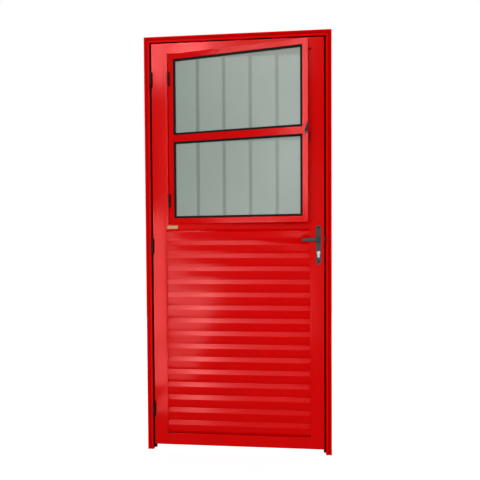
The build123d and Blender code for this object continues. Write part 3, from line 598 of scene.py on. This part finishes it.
def swung(points: np.ndarray, way: float = 1.0) -> np.ndarray:
    """Places of the shut sash turned about its hinge axis to the pose ajar.

    A turn about the upright axis at the hinge by the sash angle, free edge towards -Y.

    Args:
        points: places in metres, last axis x, y, z.
        way: 1 to turn from shut to ajar, -1 to turn back.

    Returns:
        The turned places.
    """
    joint = joint_record("sash_hinge")
    angle = way * math.radians(joint["range_deg"][0])
    x0, y0 = joint["pos_m"][0], joint["pos_m"][1]
    x, y = points[..., 0] - x0, points[..., 1] - y0
    c, s = math.cos(angle), math.sin(angle)
    return np.stack([x0 + c * x - s * y, y0 + s * x + c * y, points[..., 2]], -1)


def solid_points(node: str) -> np.ndarray:
    """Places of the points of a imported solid.

    Args:
        node: the solid.

    Returns:
        The places, one row each.
    """
    mesh = frame["nodes"][node].data
    points = np.empty(len(mesh.vertices) * 3)
    mesh.vertices.foreach_get("co", points)
    return points.reshape(-1, 3)


def hinge_runs(node: str) -> list[tuple[float, float]]:
    """Foot and top of each hinge of a solid that holds several, one above the other.

    The heights of its points are sorted, and a hinge ends where the next point is far above.

    Args:
        node: the solid.

    Returns:
        Pairs of heights, from the lowest hinge up.
    """
    z = np.sort(solid_points(node)[:, 2])
    ends = np.flatnonzero(np.diff(z) > HINGE_APART)
    return list(zip(z[np.append(0, ends + 1)], z[np.append(ends, -1)]))


def unswung_edges(node: str, axis: int) -> tuple[float, float]:
    """Least and greatest place of a sash solid along one axis when the sash is shut.

    Args:
        node: the solid.
        axis: 0 for across, 1 for depth.

    Returns:
        The two places.
    """
    shut = swung(solid_points(node), -1.0)
    return float(shut[:, axis].min()), float(shut[:, axis].max())


@dataclass
class LeverHandle:
    """Lever of the lock: a round neck on the plate and a bent, tapering grip."""

    side: Side
    neck_radius: float = 8.0 * MM
    grip_height: float = 21.0 * MM
    grip_depth: float = 11.0 * MM
    tip_height: float = 15.0 * MM
    tip_round: float = 0.6
    tip_end: float = 0.02
    reach: float = 84.5 * MM
    bend: float = 15.0 * MM
    section_power: float = 2.6
    steps: int = 40
    neck_rows: int = 8
    bend_rows: int = 12
    grip_rows: int = 30
    smooth: float = 40.0

    def path(self, straight: float) -> tuple[np.ndarray, np.ndarray, np.ndarray]:
        """Path of the rings: straight out from the plate, a quarter circle, then to the tip.

        Args:
            straight: length of the neck before the bend.

        Returns:
            For each ring, its way along the leaf, its way off the plate and its turn.
        """
        neck = np.linspace(0.0, straight, self.neck_rows)
        bend = np.linspace(0.0, math.pi / 2, self.bend_rows)[1:]
        grip = np.linspace(0.0, self.reach - self.bend, self.grip_rows)[1:]
        along = np.concatenate([0 * neck, self.bend * (1 - np.cos(bend)), self.bend + grip])
        away = np.concatenate(
            [neck, straight + self.bend * np.sin(bend), 0 * grip + straight + self.bend]
        )
        turn = np.concatenate([0 * neck, bend, 0 * grip + math.pi / 2])
        return along, away, turn

    def half_sizes(self, along: np.ndarray, turn: np.ndarray) -> tuple[np.ndarray, np.ndarray]:
        """Half depth and half height of each ring, which grow from round neck to flat grip.

        The grip tapers evenly and closes at its tip like an ellipse: scale = sqrt(1 - t^2)
        over the end.

        Args:
            along: way of each ring along the leaf.
            turn: turn of each ring.

        Returns:
            The half depths and the half heights.
        """
        grown = turn / (math.pi / 2)
        taper = (self.tip_height - self.grip_height) * np.clip(along / self.reach, 0.0, 1.0)
        tall = self.neck_radius * (1 - grown) + grown * (self.grip_height + taper) / 2
        deep = self.neck_radius * (1 - grown) + grown * self.grip_depth / 2
        end = np.clip((self.reach - along) / (self.tip_round * self.tip_height), 0.0, 1.0)
        close = np.sqrt(np.clip(1 - (1 - end) ** 2, 0.0, 1.0))
        close[-1] = self.tip_end
        return deep * close, tall * close

    def build(self, finishes: Finishes) -> bpy.types.Object:
        """Carries a superellipse along the path, square to it.

        Args:
            finishes: the made materials.

        Returns:
            The lever, which stands for its solid.
        """
        node = "lever_inner" if self.side is Side.INNER else "lever_outer"
        low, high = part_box(node)
        out = float(self.side.value)
        root_y = high[1] if self.side is Side.INNER else low[1]
        far_y = low[1] if self.side is Side.INNER else high[1]
        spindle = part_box("lever_spindle")
        x0 = (spindle[0][0] + spindle[1][0]) / 2
        z0 = (spindle[0][2] + spindle[1][2]) / 2
        straight = abs(far_y - out * self.grip_depth / 2 - root_y) - self.bend
        along, away, turn = self.path(straight)
        deep, tall = self.half_sizes(along, turn)
        ring = superellipse(self.steps, self.section_power)
        across = ring[None, :, 0] * deep[:, None]
        up = ring[None, :, 1] * tall[:, None]
        x = x0 - (along[:, None] - across * np.cos(turn)[:, None])
        y = root_y + out * (away[:, None] + across * np.sin(turn)[:, None])
        rings = np.stack([x, y, z0 + up], 2)
        item = mesh_object(f"{node}_shaped", [rings], finishes.get(DARK_HANDLE), self.smooth)
        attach(item, "lever")
        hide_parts(node)
        return item


@dataclass(frozen=True)
class HingeBarrel:
    """Smooth round skins over the flats of a family of hinges on one joint."""

    name: str
    joint: str
    leaves: str
    radius: float
    outer_body: str
    middle_body: str
    cap: float = 0.0
    cap_gap: float = 0.3 * MM
    dome_share: float = 0.55
    dome_rows: int = 8
    gap: float = 0.2 * MM
    ease: float = 0.35 * MM
    steps: int = 40
    smooth: float = 35.0

    def skin(self, z0: float, z1: float, domed: float) -> np.ndarray:
        """Rings of one knuckle or cap, between two heights.

        The profile is a straight side with both edges eased; a cap ends in a quarter ellipse
        towards the second height: radius * cos(a), height * sin(a).

        Args:
            z0: height of the foot.
            z1: height of the end.
            domed: height of the dome, nothing for a knuckle.

        Returns:
            Array of rings by points by three.
        """
        r, e, part = self.radius, self.ease, EASE_SHARE * self.ease
        way = math.copysign(1.0, z1 - z0)
        profile = [(0.0, z0), (r - e, z0), (r - part, z0 + way * part), (r, z0 + way * e)]
        if domed:
            for a in np.linspace(0.0, math.pi / 2, self.dome_rows):
                profile.append((r * math.cos(a), z1 - way * domed * (1 - math.sin(a))))
        else:
            profile += [(r, z1 - way * e), (r - part, z1 - way * part), (r - e, z1), (0.0, z1)]
        return turned(np.array(profile), self.steps)

    def build(self, finishes: Finishes) -> list[bpy.types.Object]:
        """Makes one piece of the end knuckles and caps, and one of the middle knuckles.

        Args:
            finishes: the made materials.

        Returns:
            The two pieces, each riding its own body.
        """
        axis = np.array([*joint_record(self.joint)["pos_m"][:2], 0.0])
        black = finishes.get(BLACK_COAT)
        ends, middles = [], []
        for low, high in hinge_runs(self.leaves):
            third = (high - low) / 3
            ends.append(self.skin(low, low + third - self.gap, 0.0))
            ends.append(self.skin(high - third + self.gap, high, 0.0))
            middles.append(self.skin(low + third + self.gap, high - third - self.gap, 0.0))
            if self.cap:
                for foot, way in ((low, -1.0), (high, 1.0)):
                    start = foot + way * self.cap_gap
                    dome = self.dome_share * self.cap
                    ends.append(self.skin(start, start + way * self.cap, dome))
        made = []
        for label, shapes, body in (
            ("ends", ends, self.outer_body),
            ("middle", middles, self.middle_body),
        ):
            placed = [rings + axis for rings in shapes]
            item = mesh_object(f"{self.name}_{label}", placed, black, self.smooth)
            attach(item, body)
            made.append(item)
        return made


HINGES = (
    HingeBarrel(
        name="barrel",
        joint="leaf_hinge",
        leaves="hinge_frame_leaves",
        radius=7.55 * MM,
        outer_body="frame",
        middle_body="leaf",
        cap=5.6 * MM,
    ),
    HingeBarrel(
        name="sash_barrel",
        joint="sash_hinge",
        leaves="sash_hinge_strip_leaves",
        radius=6.05 * MM,
        outer_body="leaf",
        middle_body="sash",
    ),
)


@dataclass
class ScrewHead:
    """Pan head of a small screw with a cross recess."""

    radius: float = 4.1 * MM
    rise: float = 1.7 * MM
    recess: float = 0.9 * MM
    dome_fall: float = 0.75
    arm_share: float = 1 / 6
    arm_reach: float = 0.62
    rows: int = 14
    steps: int = 48

    def points(self, centre: tuple[float, float, float], out: float) -> np.ndarray:
        """Domed disc whose height falls as a circle arc and dips along a cross.

        Height = rise * sqrt(1 - fall (r / R)^2), less the recess where the point lies within
        the width of an arm of either diagonal and inside the reach of the arms.

        Args:
            centre: middle of its foot.
            out: -1 where it looks towards -Y, +1 towards +Y.

        Returns:
            Array of rings by points by three.
        """
        radii = np.linspace(0.0, 1.0, self.rows) * self.radius
        angle = np.linspace(0.0, 2 * math.pi, self.steps, endpoint=False)
        rr, aa = np.meshgrid(radii, angle, indexing="ij")
        u, v = rr * np.cos(aa), rr * np.sin(aa)
        dome = self.rise * np.sqrt(1 - self.dome_fall * (rr / self.radius) ** 2)
        arm = self.arm_share * self.radius
        diagonals = np.minimum(np.abs(u - v), np.abs(u + v)) / math.sqrt(2) < arm
        cross = diagonals & (rr < self.arm_reach * self.radius)
        height = dome - self.recess * cross
        foot = np.stack([u[-1], v[-1], 0 * u[-1]], 1)[None]
        top = np.stack([u, v, height], 2)
        rings = np.concatenate([top, foot], 0)
        x = centre[0] + rings[..., 0]
        y = centre[1] + out * rings[..., 2]
        z = centre[2] + rings[..., 1]
        return np.stack([x, y, z], 2)


@dataclass
class Coats:
    """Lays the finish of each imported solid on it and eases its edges."""

    finishes: Finishes
    ease_width: float = 0.4 * MM
    ease_angle: float = 40.0
    ease_rows: int = 2

    def dress(self) -> None:
        """Gives every solid the finish of its slot, and a small rounded edge where it shows."""
        slots = {s["node"]: s["material_slot"] for s in frame["record"]["subparts"]}
        for name, item in frame["nodes"].items():
            finish = NODE_FINISHES.get(name, SLOT_FINISHES[slots[name]])
            material = self.finishes.get(finish)
            if not item.material_slots:
                item.data.materials.append(material)
            for place in item.material_slots:
                place.material = material
            self.ease(item, name not in UNEASED)
            log.info("dressed %s in %s", name, material.name)

    def ease(self, item: bpy.types.Object, rounded: bool) -> None:
        """Joins the loose faces of a solid by a modifier and rounds its sharp edges by another.

        Args:
            item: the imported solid.
            rounded: whether its edges are rounded.
        """
        weld = item.modifiers.new("weld", "WELD")
        weld.merge_threshold = MERGE_REACH
        if rounded:
            bevel = item.modifiers.new("ease", "BEVEL")
            bevel.width = self.ease_width
            bevel.segments = self.ease_rows
            bevel.limit_method = "ANGLE"
            bevel.angle_limit = math.radians(self.ease_angle)
            bevel.use_clamp_overlap = True
            bevel.harden_normals = False


@dataclass
class PaneGasket:
    """Black rubber loop round one pane: a rounded lip that laps on the glass."""

    pane: str
    width: float = 7.7 * MM
    lap: float = 2.8 * MM
    outer: float = 0.3 * MM
    front: float = 0.3 * MM
    corner: float = 1.4 * MM
    smooth: float = 50.0

    def loop(self, hole: tuple[float, ...], inset: float, y: float) -> np.ndarray:
        """Four corners of a rectangle, inset from the hole of the pane, at one depth.

        Args:
            hole: left, right, low and high side of the hole.
            inset: distance in from the hole.
            y: depth.

        Returns:
            Array of four by three.
        """
        left, right = hole[0] + inset, hole[1] - inset
        low, high = hole[2] + inset, hole[3] - inset
        return np.array([(left, y, low), (right, y, low), (right, y, high), (left, y, high)])

    def section(self, front: float, back: float) -> list[tuple[float, float]]:
        """Section of the lip: a bar whose corners are eased by three points each.

        At each corner the points lie (0, 1), (share, share) and (1, 0) easings in from its
        two sides, taken in turn round the bar.

        Args:
            front: depth of the front of the lip.
            back: depth of its back.

        Returns:
            Pairs of inset and depth.
        """
        inner = self.width + self.lap
        shoulder = ((0.0, 1.0), (EASE_SHARE, EASE_SHARE), (1.0, 0.0))
        pairs = []
        for inset, way_in, depth, way_back, order in (
            (self.outer, 1, front, 1, 1),
            (inner, -1, front, 1, -1),
            (inner, -1, back, -1, 1),
            (self.outer, 1, back, -1, -1),
        ):
            for a, b in shoulder[::order]:
                x = inset + way_in * a * self.corner
                pairs.append((x, depth + way_back * b * self.corner))
        return pairs

    def build(
        self, finishes: Finishes, hole: tuple[float, ...], y: tuple[float, float]
    ) -> bpy.types.Object:
        """Sweeps the section of the lip round the hole of the pane, mitred at the corners.

        Each pair of inset and depth makes one rectangular ring.

        Args:
            finishes: the made materials.
            hole: left, right, low and high side of the hole in the sash frame.
            y: front and back face of the sash.

        Returns:
            The gasket, ajar with the sash.
        """
        section = self.section(y[0] + self.front, y[1] - self.front)
        rings = swung(np.stack([self.loop(hole, inset, depth) for inset, depth in section]))
        rubber = finishes.get(SEAL_RUBBER)
        item = mesh_object(f"gasket_{self.pane}", [rings], rubber, self.smooth, wrap_rows=True)
        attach(item, "sash")
        return item


@dataclass
class SashGaskets:
    """Gaskets of the two panes of the sash."""

    finishes: Finishes

    def build(self) -> list[bpy.types.Object]:
        """Sets one gasket in each hole between the rails and stiles of the sash.

        Returns:
            The two gaskets.
        """
        left = unswung_edges("sash_stile_hinge", 0)[1]
        right = unswung_edges("sash_stile_free", 0)[0]
        depth = unswung_edges("sash_stile_hinge", 1)
        bottom, mid, top = (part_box(f"sash_rail_{place}") for place in ("bottom", "mid", "top"))
        made = []
        for name, under, over in (("low", bottom, mid), ("high", mid, top)):
            hole = (left, right, under[1][2], over[0][2])
            made.append(PaneGasket(name).build(self.finishes, hole, depth))
        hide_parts("sash_gaskets")
        return made


@dataclass
class LatchBody:
    """Small cast body of the sash latch: a domed oval plate with a round boss."""

    half_wide: float = 6.2 * MM
    half_tall: float = 15.5 * MM
    lean: float = 0.16
    sink: float = -7.0 * MM
    thick: float = 7.0 * MM
    boss: float = 5.6 * MM
    boss_face: float = 0.86
    boss_ease: float = 0.6 * MM
    shift: float = -3.5 * MM
    eye_right: float = 1.0 * MM
    eye_down: float = 8.0 * MM
    domed: float = 0.45
    plate_power: float = 2.5
    rows: int = 9
    steps: int = 48
    smooth: float = 40.0

    def build(self, finishes: Finishes) -> bpy.types.Object:
        """Stacks oval rings from the stile outwards, then closes them into the boss.

        Each ring is a superellipse; its size falls along a quarter circle towards the front,
        size = 1 - domed + domed * sqrt(1 - t^2), and the oval leans to the side as it goes
        up. The rings of the boss are circles.

        Args:
            finishes: the made materials.

        Returns:
            The body, ajar with the sash.
        """
        across = unswung_edges("sash_latch_body", 0)
        front, back = unswung_edges("sash_latch_body", 1)
        low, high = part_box("sash_latch_body")
        eye_x = (across[0] + across[1]) / 2 + self.eye_right
        eye_z = (low[2] + high[2]) / 2 - self.eye_down
        oval = superellipse(self.steps, self.plate_power)
        circle = superellipse(self.steps, 2.0)
        rows = []
        for t in np.linspace(0.0, 1.0, self.rows):
            grow = 1 - self.domed + self.domed * math.sqrt(1 - t * t)
            z = self.sink * (1 - t) / 2 + oval[:, 1] * self.half_tall * grow
            x = self.shift * (1 - t) + oval[:, 0] * self.half_wide * grow + self.lean * z
            rows.append(np.stack([eye_x + x, 0 * x + back - t * self.thick, eye_z + z], 1))
        for share, y in (
            (1.0, back - self.thick),
            (1.0, front + self.boss_ease),
            (self.boss_face, front),
        ):
            x, z = circle[:, 0] * self.boss * share, circle[:, 1] * self.boss * share
            rows.append(np.stack([eye_x + x, 0 * x + y, eye_z + z], 1))
        rings = swung(np.array(rows))
        item = mesh_object("latch_body_shaped", [rings], finishes.get(LATCH_GREY), self.smooth)
        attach(item, "sash")
        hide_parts("sash_latch_body")
        return item


@dataclass
class RebateShadeSheet:
    """Black sheet, in the seal rubber finish, lining the gap between leaf and frame, left out at
    hinges and strike; it is painted shade, standing in for the shadow deep in the gap.
    """

    face: float = 28.0 * MM
    thick: float = 1.0 * MM
    front: float = 1.2 * MM
    back: float = 31.0 * MM
    foot: float = 0.3 * MM
    clear: float = 0.5 * MM
    smooth: float = 30.0

    def strip(self, x: tuple[float, float], z: tuple[float, float]) -> np.ndarray:
        """Bar between two depths with a narrower front edge, as three rings of four corners.

        Args:
            x: its two sides.
            z: its two heights.

        Returns:
            Array of three rings by four by three, from front to back.
        """
        part = EASE_SHARE * self.thick
        rings = []
        for inset, y in ((part, self.front), (0.0, self.front + part), (0.0, self.back)):
            x0, x1, z0, z1 = x[0] + inset, x[1] - inset, z[0] + inset, z[1] - inset
            rings.append([(x0, y, z0), (x1, y, z0), (x1, y, z1), (x0, y, z1)])
        return np.array(rings)

    def build(self, finishes: Finishes) -> bpy.types.Object:
        """Sets strips along both jambs and the head, clear of hinge leaves and strike plate.

        Args:
            finishes: the made materials.

        Returns:
            The dark sheet of painted shade.
        """
        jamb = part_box("jamb_hinge")
        edge = -(jamb[0][0] + self.face)
        top = jamb[1][2] - self.face
        under = top - self.thick
        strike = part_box("strike_plate")
        breaks = [self.foot]
        for low, high in hinge_runs("hinge_frame_leaves"):
            breaks += [low - self.clear, high + self.clear]
        breaks.append(under)
        runs = [((-edge, self.thick - edge), pair) for pair in zip(breaks[::2], breaks[1::2])]
        lock_side = (edge - self.thick, edge)
        runs.append((lock_side, (self.foot, strike[0][2] - self.clear)))
        runs.append((lock_side, (strike[1][2] + self.clear, under)))
        runs.append(((-edge, edge), (under, top)))
        strips = [self.strip(x, z) for x, z in runs]
        # Painted shade: the black sheet darkens the jamb faces in the gap, where only shadow
        # falls
        item = mesh_object("rebate_shade_sheet", strips, finishes.get(SEAL_RUBBER), self.smooth)
        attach(item, "frame")
        return item


@dataclass
class Label:
    """Blank gold plate at the left of the lock rail."""

    left: float = -357.0 * MM
    right: float = -304.5 * MM
    low: float = 1135.5 * MM
    high: float = 1149.5 * MM
    thick: float = 0.5 * MM
    sunk: float = 0.02 * MM
    corner_power: float = 30.0
    steps: int = 64
    smooth: float = 30.0

    def build(self, finishes: Finishes) -> bpy.types.Object:
        """Thin rounded plate on the front face of the rail.

        Its outline is a superellipse of a high power, extruded by its thickness.

        Args:
            finishes: the made materials.

        Returns:
            The plate.
        """
        face_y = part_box("leaf_rail_lock")[0][1]
        ring = superellipse(self.steps, self.corner_power)
        x = (self.left + self.right) / 2 + ring[:, 0] * (self.right - self.left) / 2
        z = (self.low + self.high) / 2 + ring[:, 1] * (self.high - self.low) / 2
        back = np.stack([x, 0 * x + face_y + self.sunk, z], 1)
        front = np.stack([x, 0 * x + face_y - self.thick, z], 1)
        rings = np.stack([back, front], 0)
        item = mesh_object("blank_label", [rings], finishes.get(BLANK_GOLD), self.smooth)
        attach(item, "leaf")
        return item


@dataclass
class HandleFixings:
    """Screw heads of the handle plates, on both faces of the leaf."""

    head: ScrewHead = field(default_factory=ScrewHead)
    foot_inset: float = 14.9 * MM
    top_inset: float = 12.5 * MM
    seat: float = 0.05 * MM
    smooth: float = 25.0

    def build(self, finishes: Finishes) -> list[bpy.types.Object]:
        """Sets one cross-recessed head on each end of both through screws.

        Args:
            finishes: the made materials.

        Returns:
            The four heads.
        """
        made = []
        low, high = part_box("backplate_inner")
        outer_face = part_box("backplate_outer")[1][1]
        x = (low[0] + high[0]) / 2
        for number, z in enumerate((low[2] + self.foot_inset, high[2] - self.top_inset)):
            for label, y, out in (("inner", low[1], -1.0), ("outer", outer_face, 1.0)):
                rings = self.head.points((x, y + out * self.seat, z), out)
                name = f"handle_screw_{label}_{number + 1}"
                # Painted shade: the heads take the black coat to stand for the dark hollows of
                # the screw holes
                item = mesh_object(name, [rings], finishes.get(BLACK_COAT), self.smooth)
                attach(item, "leaf")
                made.append(item)
        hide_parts("handle_screws")
        return made


def axes_matrix(
    right: np.ndarray, up: np.ndarray, back: np.ndarray, place: tuple[float, ...]
) -> Matrix:
    """Matrix of a camera or lamp, which looks against its own Z axis.

    Args:
        right: its X axis.
        up: its Y axis.
        back: its Z axis.
        place: where it stands, in metres.

    Returns:
        The matrix.
    """
    matrix = np.eye(4)
    matrix[:3] = np.stack([right, up, back, place], 1)
    return Matrix(matrix.tolist())


@dataclass
class PhotoCamera:
    """Camera that sees the door as the photograph does."""

    focal_px: float = 512.1
    place_mm: tuple[float, float, float] = (350.9, -2545.95, 1073.13)
    yaw: float = 0.0996413
    pitch: float = 0.0288241
    roll: float = -0.0050818
    centre_px: tuple[float, float] = (16.34, 15.18)
    sensor_mm: float = 36.0
    reach_m: float = 100.0

    def build(self) -> bpy.types.Object:
        """Sets the camera by its yaw, pitch and roll, with the lens from the focal length.

        Returns:
            The camera, made the scene's own.
        """
        data = bpy.data.cameras.new("photo_camera")
        data.sensor_width = self.sensor_mm
        data.lens = self.focal_px * self.sensor_mm / IMAGE_SIDE
        data.shift_x = -self.centre_px[0] / IMAGE_SIDE
        data.shift_y = self.centre_px[1] / IMAGE_SIDE
        data.clip_end = self.reach_m
        flat = math.cos(self.pitch)
        ahead = np.array(
            [-math.sin(self.yaw) * flat, math.cos(self.yaw) * flat, -math.sin(self.pitch)]
        )
        level = np.array([math.cos(self.yaw), math.sin(self.yaw), 0.0])
        above = np.cross(level, ahead)
        right = level * math.cos(self.roll) + above * math.sin(self.roll)
        up = -level * math.sin(self.roll) + above * math.cos(self.roll)
        place = tuple(v * MM for v in self.place_mm)
        camera = bpy.data.objects.new("photo_camera", data)
        bpy.context.scene.collection.objects.link(camera)
        camera.matrix_world = axes_matrix(right, up, -ahead, place)
        bpy.context.scene.camera = camera
        return camera


class Seen(Enum):
    """Rays that see the white background: straight, mirrored and passed through."""

    CAMERA = "Is Camera Ray"
    GLOSSY = "Is Glossy Ray"
    TRANSMISSION = "Is Transmission Ray"


def seen_mask(tree: bpy.types.NodeTree) -> bpy.types.NodeSocket:
    """Value that is 1 for the rays that see the background and 0 for the rest.

    Args:
        tree: the tree of the world or of a material.

    Returns:
        The socket that carries it.
    """
    path = tree.nodes.new("ShaderNodeLightPath")
    value = path.outputs[Seen.CAMERA.value]
    for ray in (Seen.GLOSSY, Seen.TRANSMISSION):
        either = tree.nodes.new("ShaderNodeMath")
        either.operation = "MAXIMUM"
        tree.links.new(value, either.inputs[0])
        tree.links.new(path.outputs[ray.value], either.inputs[1])
        value = either.outputs["Value"]
    return value


class LampUse(Enum):
    """What a lamp does: light the body colours, or show as a bright patch in the coatings."""

    FILL = "fill"
    PATCH = "patch"


@dataclass(frozen=True)
class Lamp:
    """Rectangular soft lamp: where it stands, where it looks, its size and its brightness."""

    name: str
    place: tuple[float, float, float]
    aim: tuple[float, float, float]
    wide: float
    tall: float
    level: float
    use: LampUse

    def build(self) -> bpy.types.Object:
        """Makes the lamp; its power is its level times its area.

        Returns:
            The lamp.
        """
        data = bpy.data.lights.new(self.name, "AREA")
        data.shape = "RECTANGLE"
        data.size = self.wide
        data.size_y = self.tall
        data.energy = self.level * self.wide * self.tall
        item = bpy.data.objects.new(self.name, data)
        bpy.context.scene.collection.objects.link(item)
        back = np.array(self.place) - np.array(self.aim)
        back /= np.linalg.norm(back)
        right = np.cross((0.0, 0.0, 1.0), back)
        right /= np.linalg.norm(right)
        up = np.cross(back, right)
        item.matrix_world = axes_matrix(right, up, back, self.place)
        item.visible_camera = False
        item.visible_diffuse = self.use is LampUse.FILL
        item.visible_glossy = self.use is LampUse.PATCH
        return item


# The patches are what the coatings mirror: pale walls, ceiling and floor of a bright room
PATCH_WALL_Y = -3.1
PATCH_FLOOR_Z = 0.05
PATCH_TURN = 0.03
CEILING_LEFT = (-2.5, -10.0, 8.6)
CEILING_RIGHT = (-0.4, -10.0, 8.6)


def wall_patch(name: str, x: float, z: float, wide: float, tall: float, level: float) -> Lamp:
    """Upright patch in front of the door, facing it.

    Args:
        name: its name.
        x: its middle across.
        z: its middle in height.
        wide: its width.
        tall: its height.
        level: its brightness.

    Returns:
        The lamp.
    """
    return Lamp(name, (x, PATCH_WALL_Y, z), (x, 0.0, z), wide, tall, level, LampUse.PATCH)


def floor_patch(name: str, x: float, y: float, wide: float, tall: float, level: float) -> Lamp:
    """Patch close over the floor, facing up.

    Args:
        name: its name.
        x: its middle across.
        y: its middle in depth.
        wide: its width.
        tall: its length in depth.
        level: its brightness.

    Returns:
        The lamp.
    """
    aim = (x, y + PATCH_TURN, PATCH_FLOOR_Z + 1.0)
    return Lamp(name, (x, y, PATCH_FLOOR_Z), aim, wide, tall, level, LampUse.PATCH)


STUDIO_LAMPS = (
    Lamp("key", (0.5, -4.6, 1.3), (0.0, 0.0, 1.0), 3.0, 2.0, 22.0, LampUse.FILL),
    Lamp("back", (-0.7, 4.2, 2.5), (0.0, 0.0, 1.0), 3.0, 2.4, 19.0, LampUse.FILL),
    wall_patch("window_tall", -0.95, 2.4, 0.34, 2.0, 92.0),
    wall_patch("window_low", -1.625, 0.69, 0.87, 1.38, 58.0),
    wall_patch("window_high", -1.64, 3.15, 0.78, 0.6, 66.0),
    wall_patch("window_right", 0.24, 0.35, 0.26, 0.7, 30.0),
    Lamp("ceiling_left", CEILING_LEFT, (-0.35, 0.0, 0.6), 2.4, 7.4, 44.0, LampUse.PATCH),
    Lamp("ceiling_right", CEILING_RIGHT, (0.1, 0.0, 0.6), 1.8, 7.4, 24.0, LampUse.PATCH),
    floor_patch("floor_edge", -1.32, -2.83, 0.2, 0.55, 50.0),
    floor_patch("floor_far", -1.0, -1.95, 0.36, 0.9, 46.0),
    floor_patch("floor_mid", -0.64, -1.35, 0.46, 0.7, 48.0),
    floor_patch("floor_near", -0.485, -0.72, 0.25, 0.56, 28.0),
)


@dataclass
class Studio:
    """Pale floor, white surroundings and soft lamps."""

    sky: float = 0.42
    floor_tone: float = 0.45
    floor_glow: float = 0.8
    floor_half: float = 14.0
    floor_drop: float = 0.5 * MM
    floor_roughness: float = 0.9
    floor_specular: float = 0.1

    def build(self) -> None:
        """Makes the surroundings, the floor and the lamps."""
        self.surroundings()
        self.floor()
        for lamp in STUDIO_LAMPS:
            lamp.build()

    def surroundings(self) -> None:
        """World that lights dimly and looks white to the rays that see the background."""
        world = bpy.data.worlds.new("white_surroundings")
        world.use_nodes = True
        tree = world.node_tree
        shade = tree.nodes["Background"]
        shade.inputs["Color"].default_value = (1.0, 1.0, 1.0, 1.0)
        level = tree.nodes.new("ShaderNodeMapRange")
        level.inputs["To Min"].default_value = self.sky
        level.inputs["To Max"].default_value = 1.0
        tree.links.new(seen_mask(tree), level.inputs["Value"])
        tree.links.new(level.outputs["Result"], shade.inputs["Strength"])
        bpy.context.scene.world = world

    def floor(self) -> None:
        """Pale floor that looks white where no shadow falls on it."""
        mesh = bpy.data.meshes.new("floor")
        half = self.floor_half
        corners = [(-half, -half, 0.0), (half, -half, 0.0), (half, half, 0.0), (-half, half, 0.0)]
        mesh.from_pydata(corners, [], [(0, 1, 2, 3)])
        item = bpy.data.objects.new("floor", mesh)
        bpy.context.scene.collection.objects.link(item)
        item.location.z = -self.floor_drop
        material = bpy.data.materials.new("pale_floor")
        material.use_nodes = True
        tree = material.node_tree
        shader = tree.nodes["Principled BSDF"]
        shader.inputs["Base Color"].default_value = (self.floor_tone,) * 3 + (1.0,)
        shader.inputs["Roughness"].default_value = self.floor_roughness
        shader.inputs["Specular IOR Level"].default_value = self.floor_specular
        shader.inputs["Emission Color"].default_value = (1.0, 1.0, 1.0, 1.0)
        glow = tree.nodes.new("ShaderNodeMath")
        glow.operation = "MULTIPLY"
        glow.inputs[1].default_value = self.floor_glow
        tree.links.new(seen_mask(tree), glow.inputs[0])
        tree.links.new(glow.outputs["Value"], shader.inputs["Emission Strength"])
        mesh.materials.append(material)


def main() -> None:
    """Builds the studio, dresses the solids and adds the finer pieces."""
    logging.basicConfig(level=logging.INFO, format="%(message)s")
    finishes = Finishes()
    Coats(finishes).dress()
    for side in Side:
        log.info("built %s", LeverHandle(side).build(finishes).name)
    log.info("built %s", Label().build(finishes).name)
    log.info("built %s", RebateShadeSheet().build(finishes).name)
    log.info("built %s", LatchBody().build(finishes).name)
    for hinge in HINGES:
        for item in hinge.build(finishes):
            log.info("built %s", item.name)
    for gasket in SashGaskets(finishes).build():
        log.info("built %s", gasket.name)
    for head in HandleFixings().build(finishes):
        log.info("built %s", head.name)
    Studio().build()
    PhotoCamera().build()
    bpy.context.scene.view_settings.view_transform = "Standard"


if __name__ == "__main__":
    main()
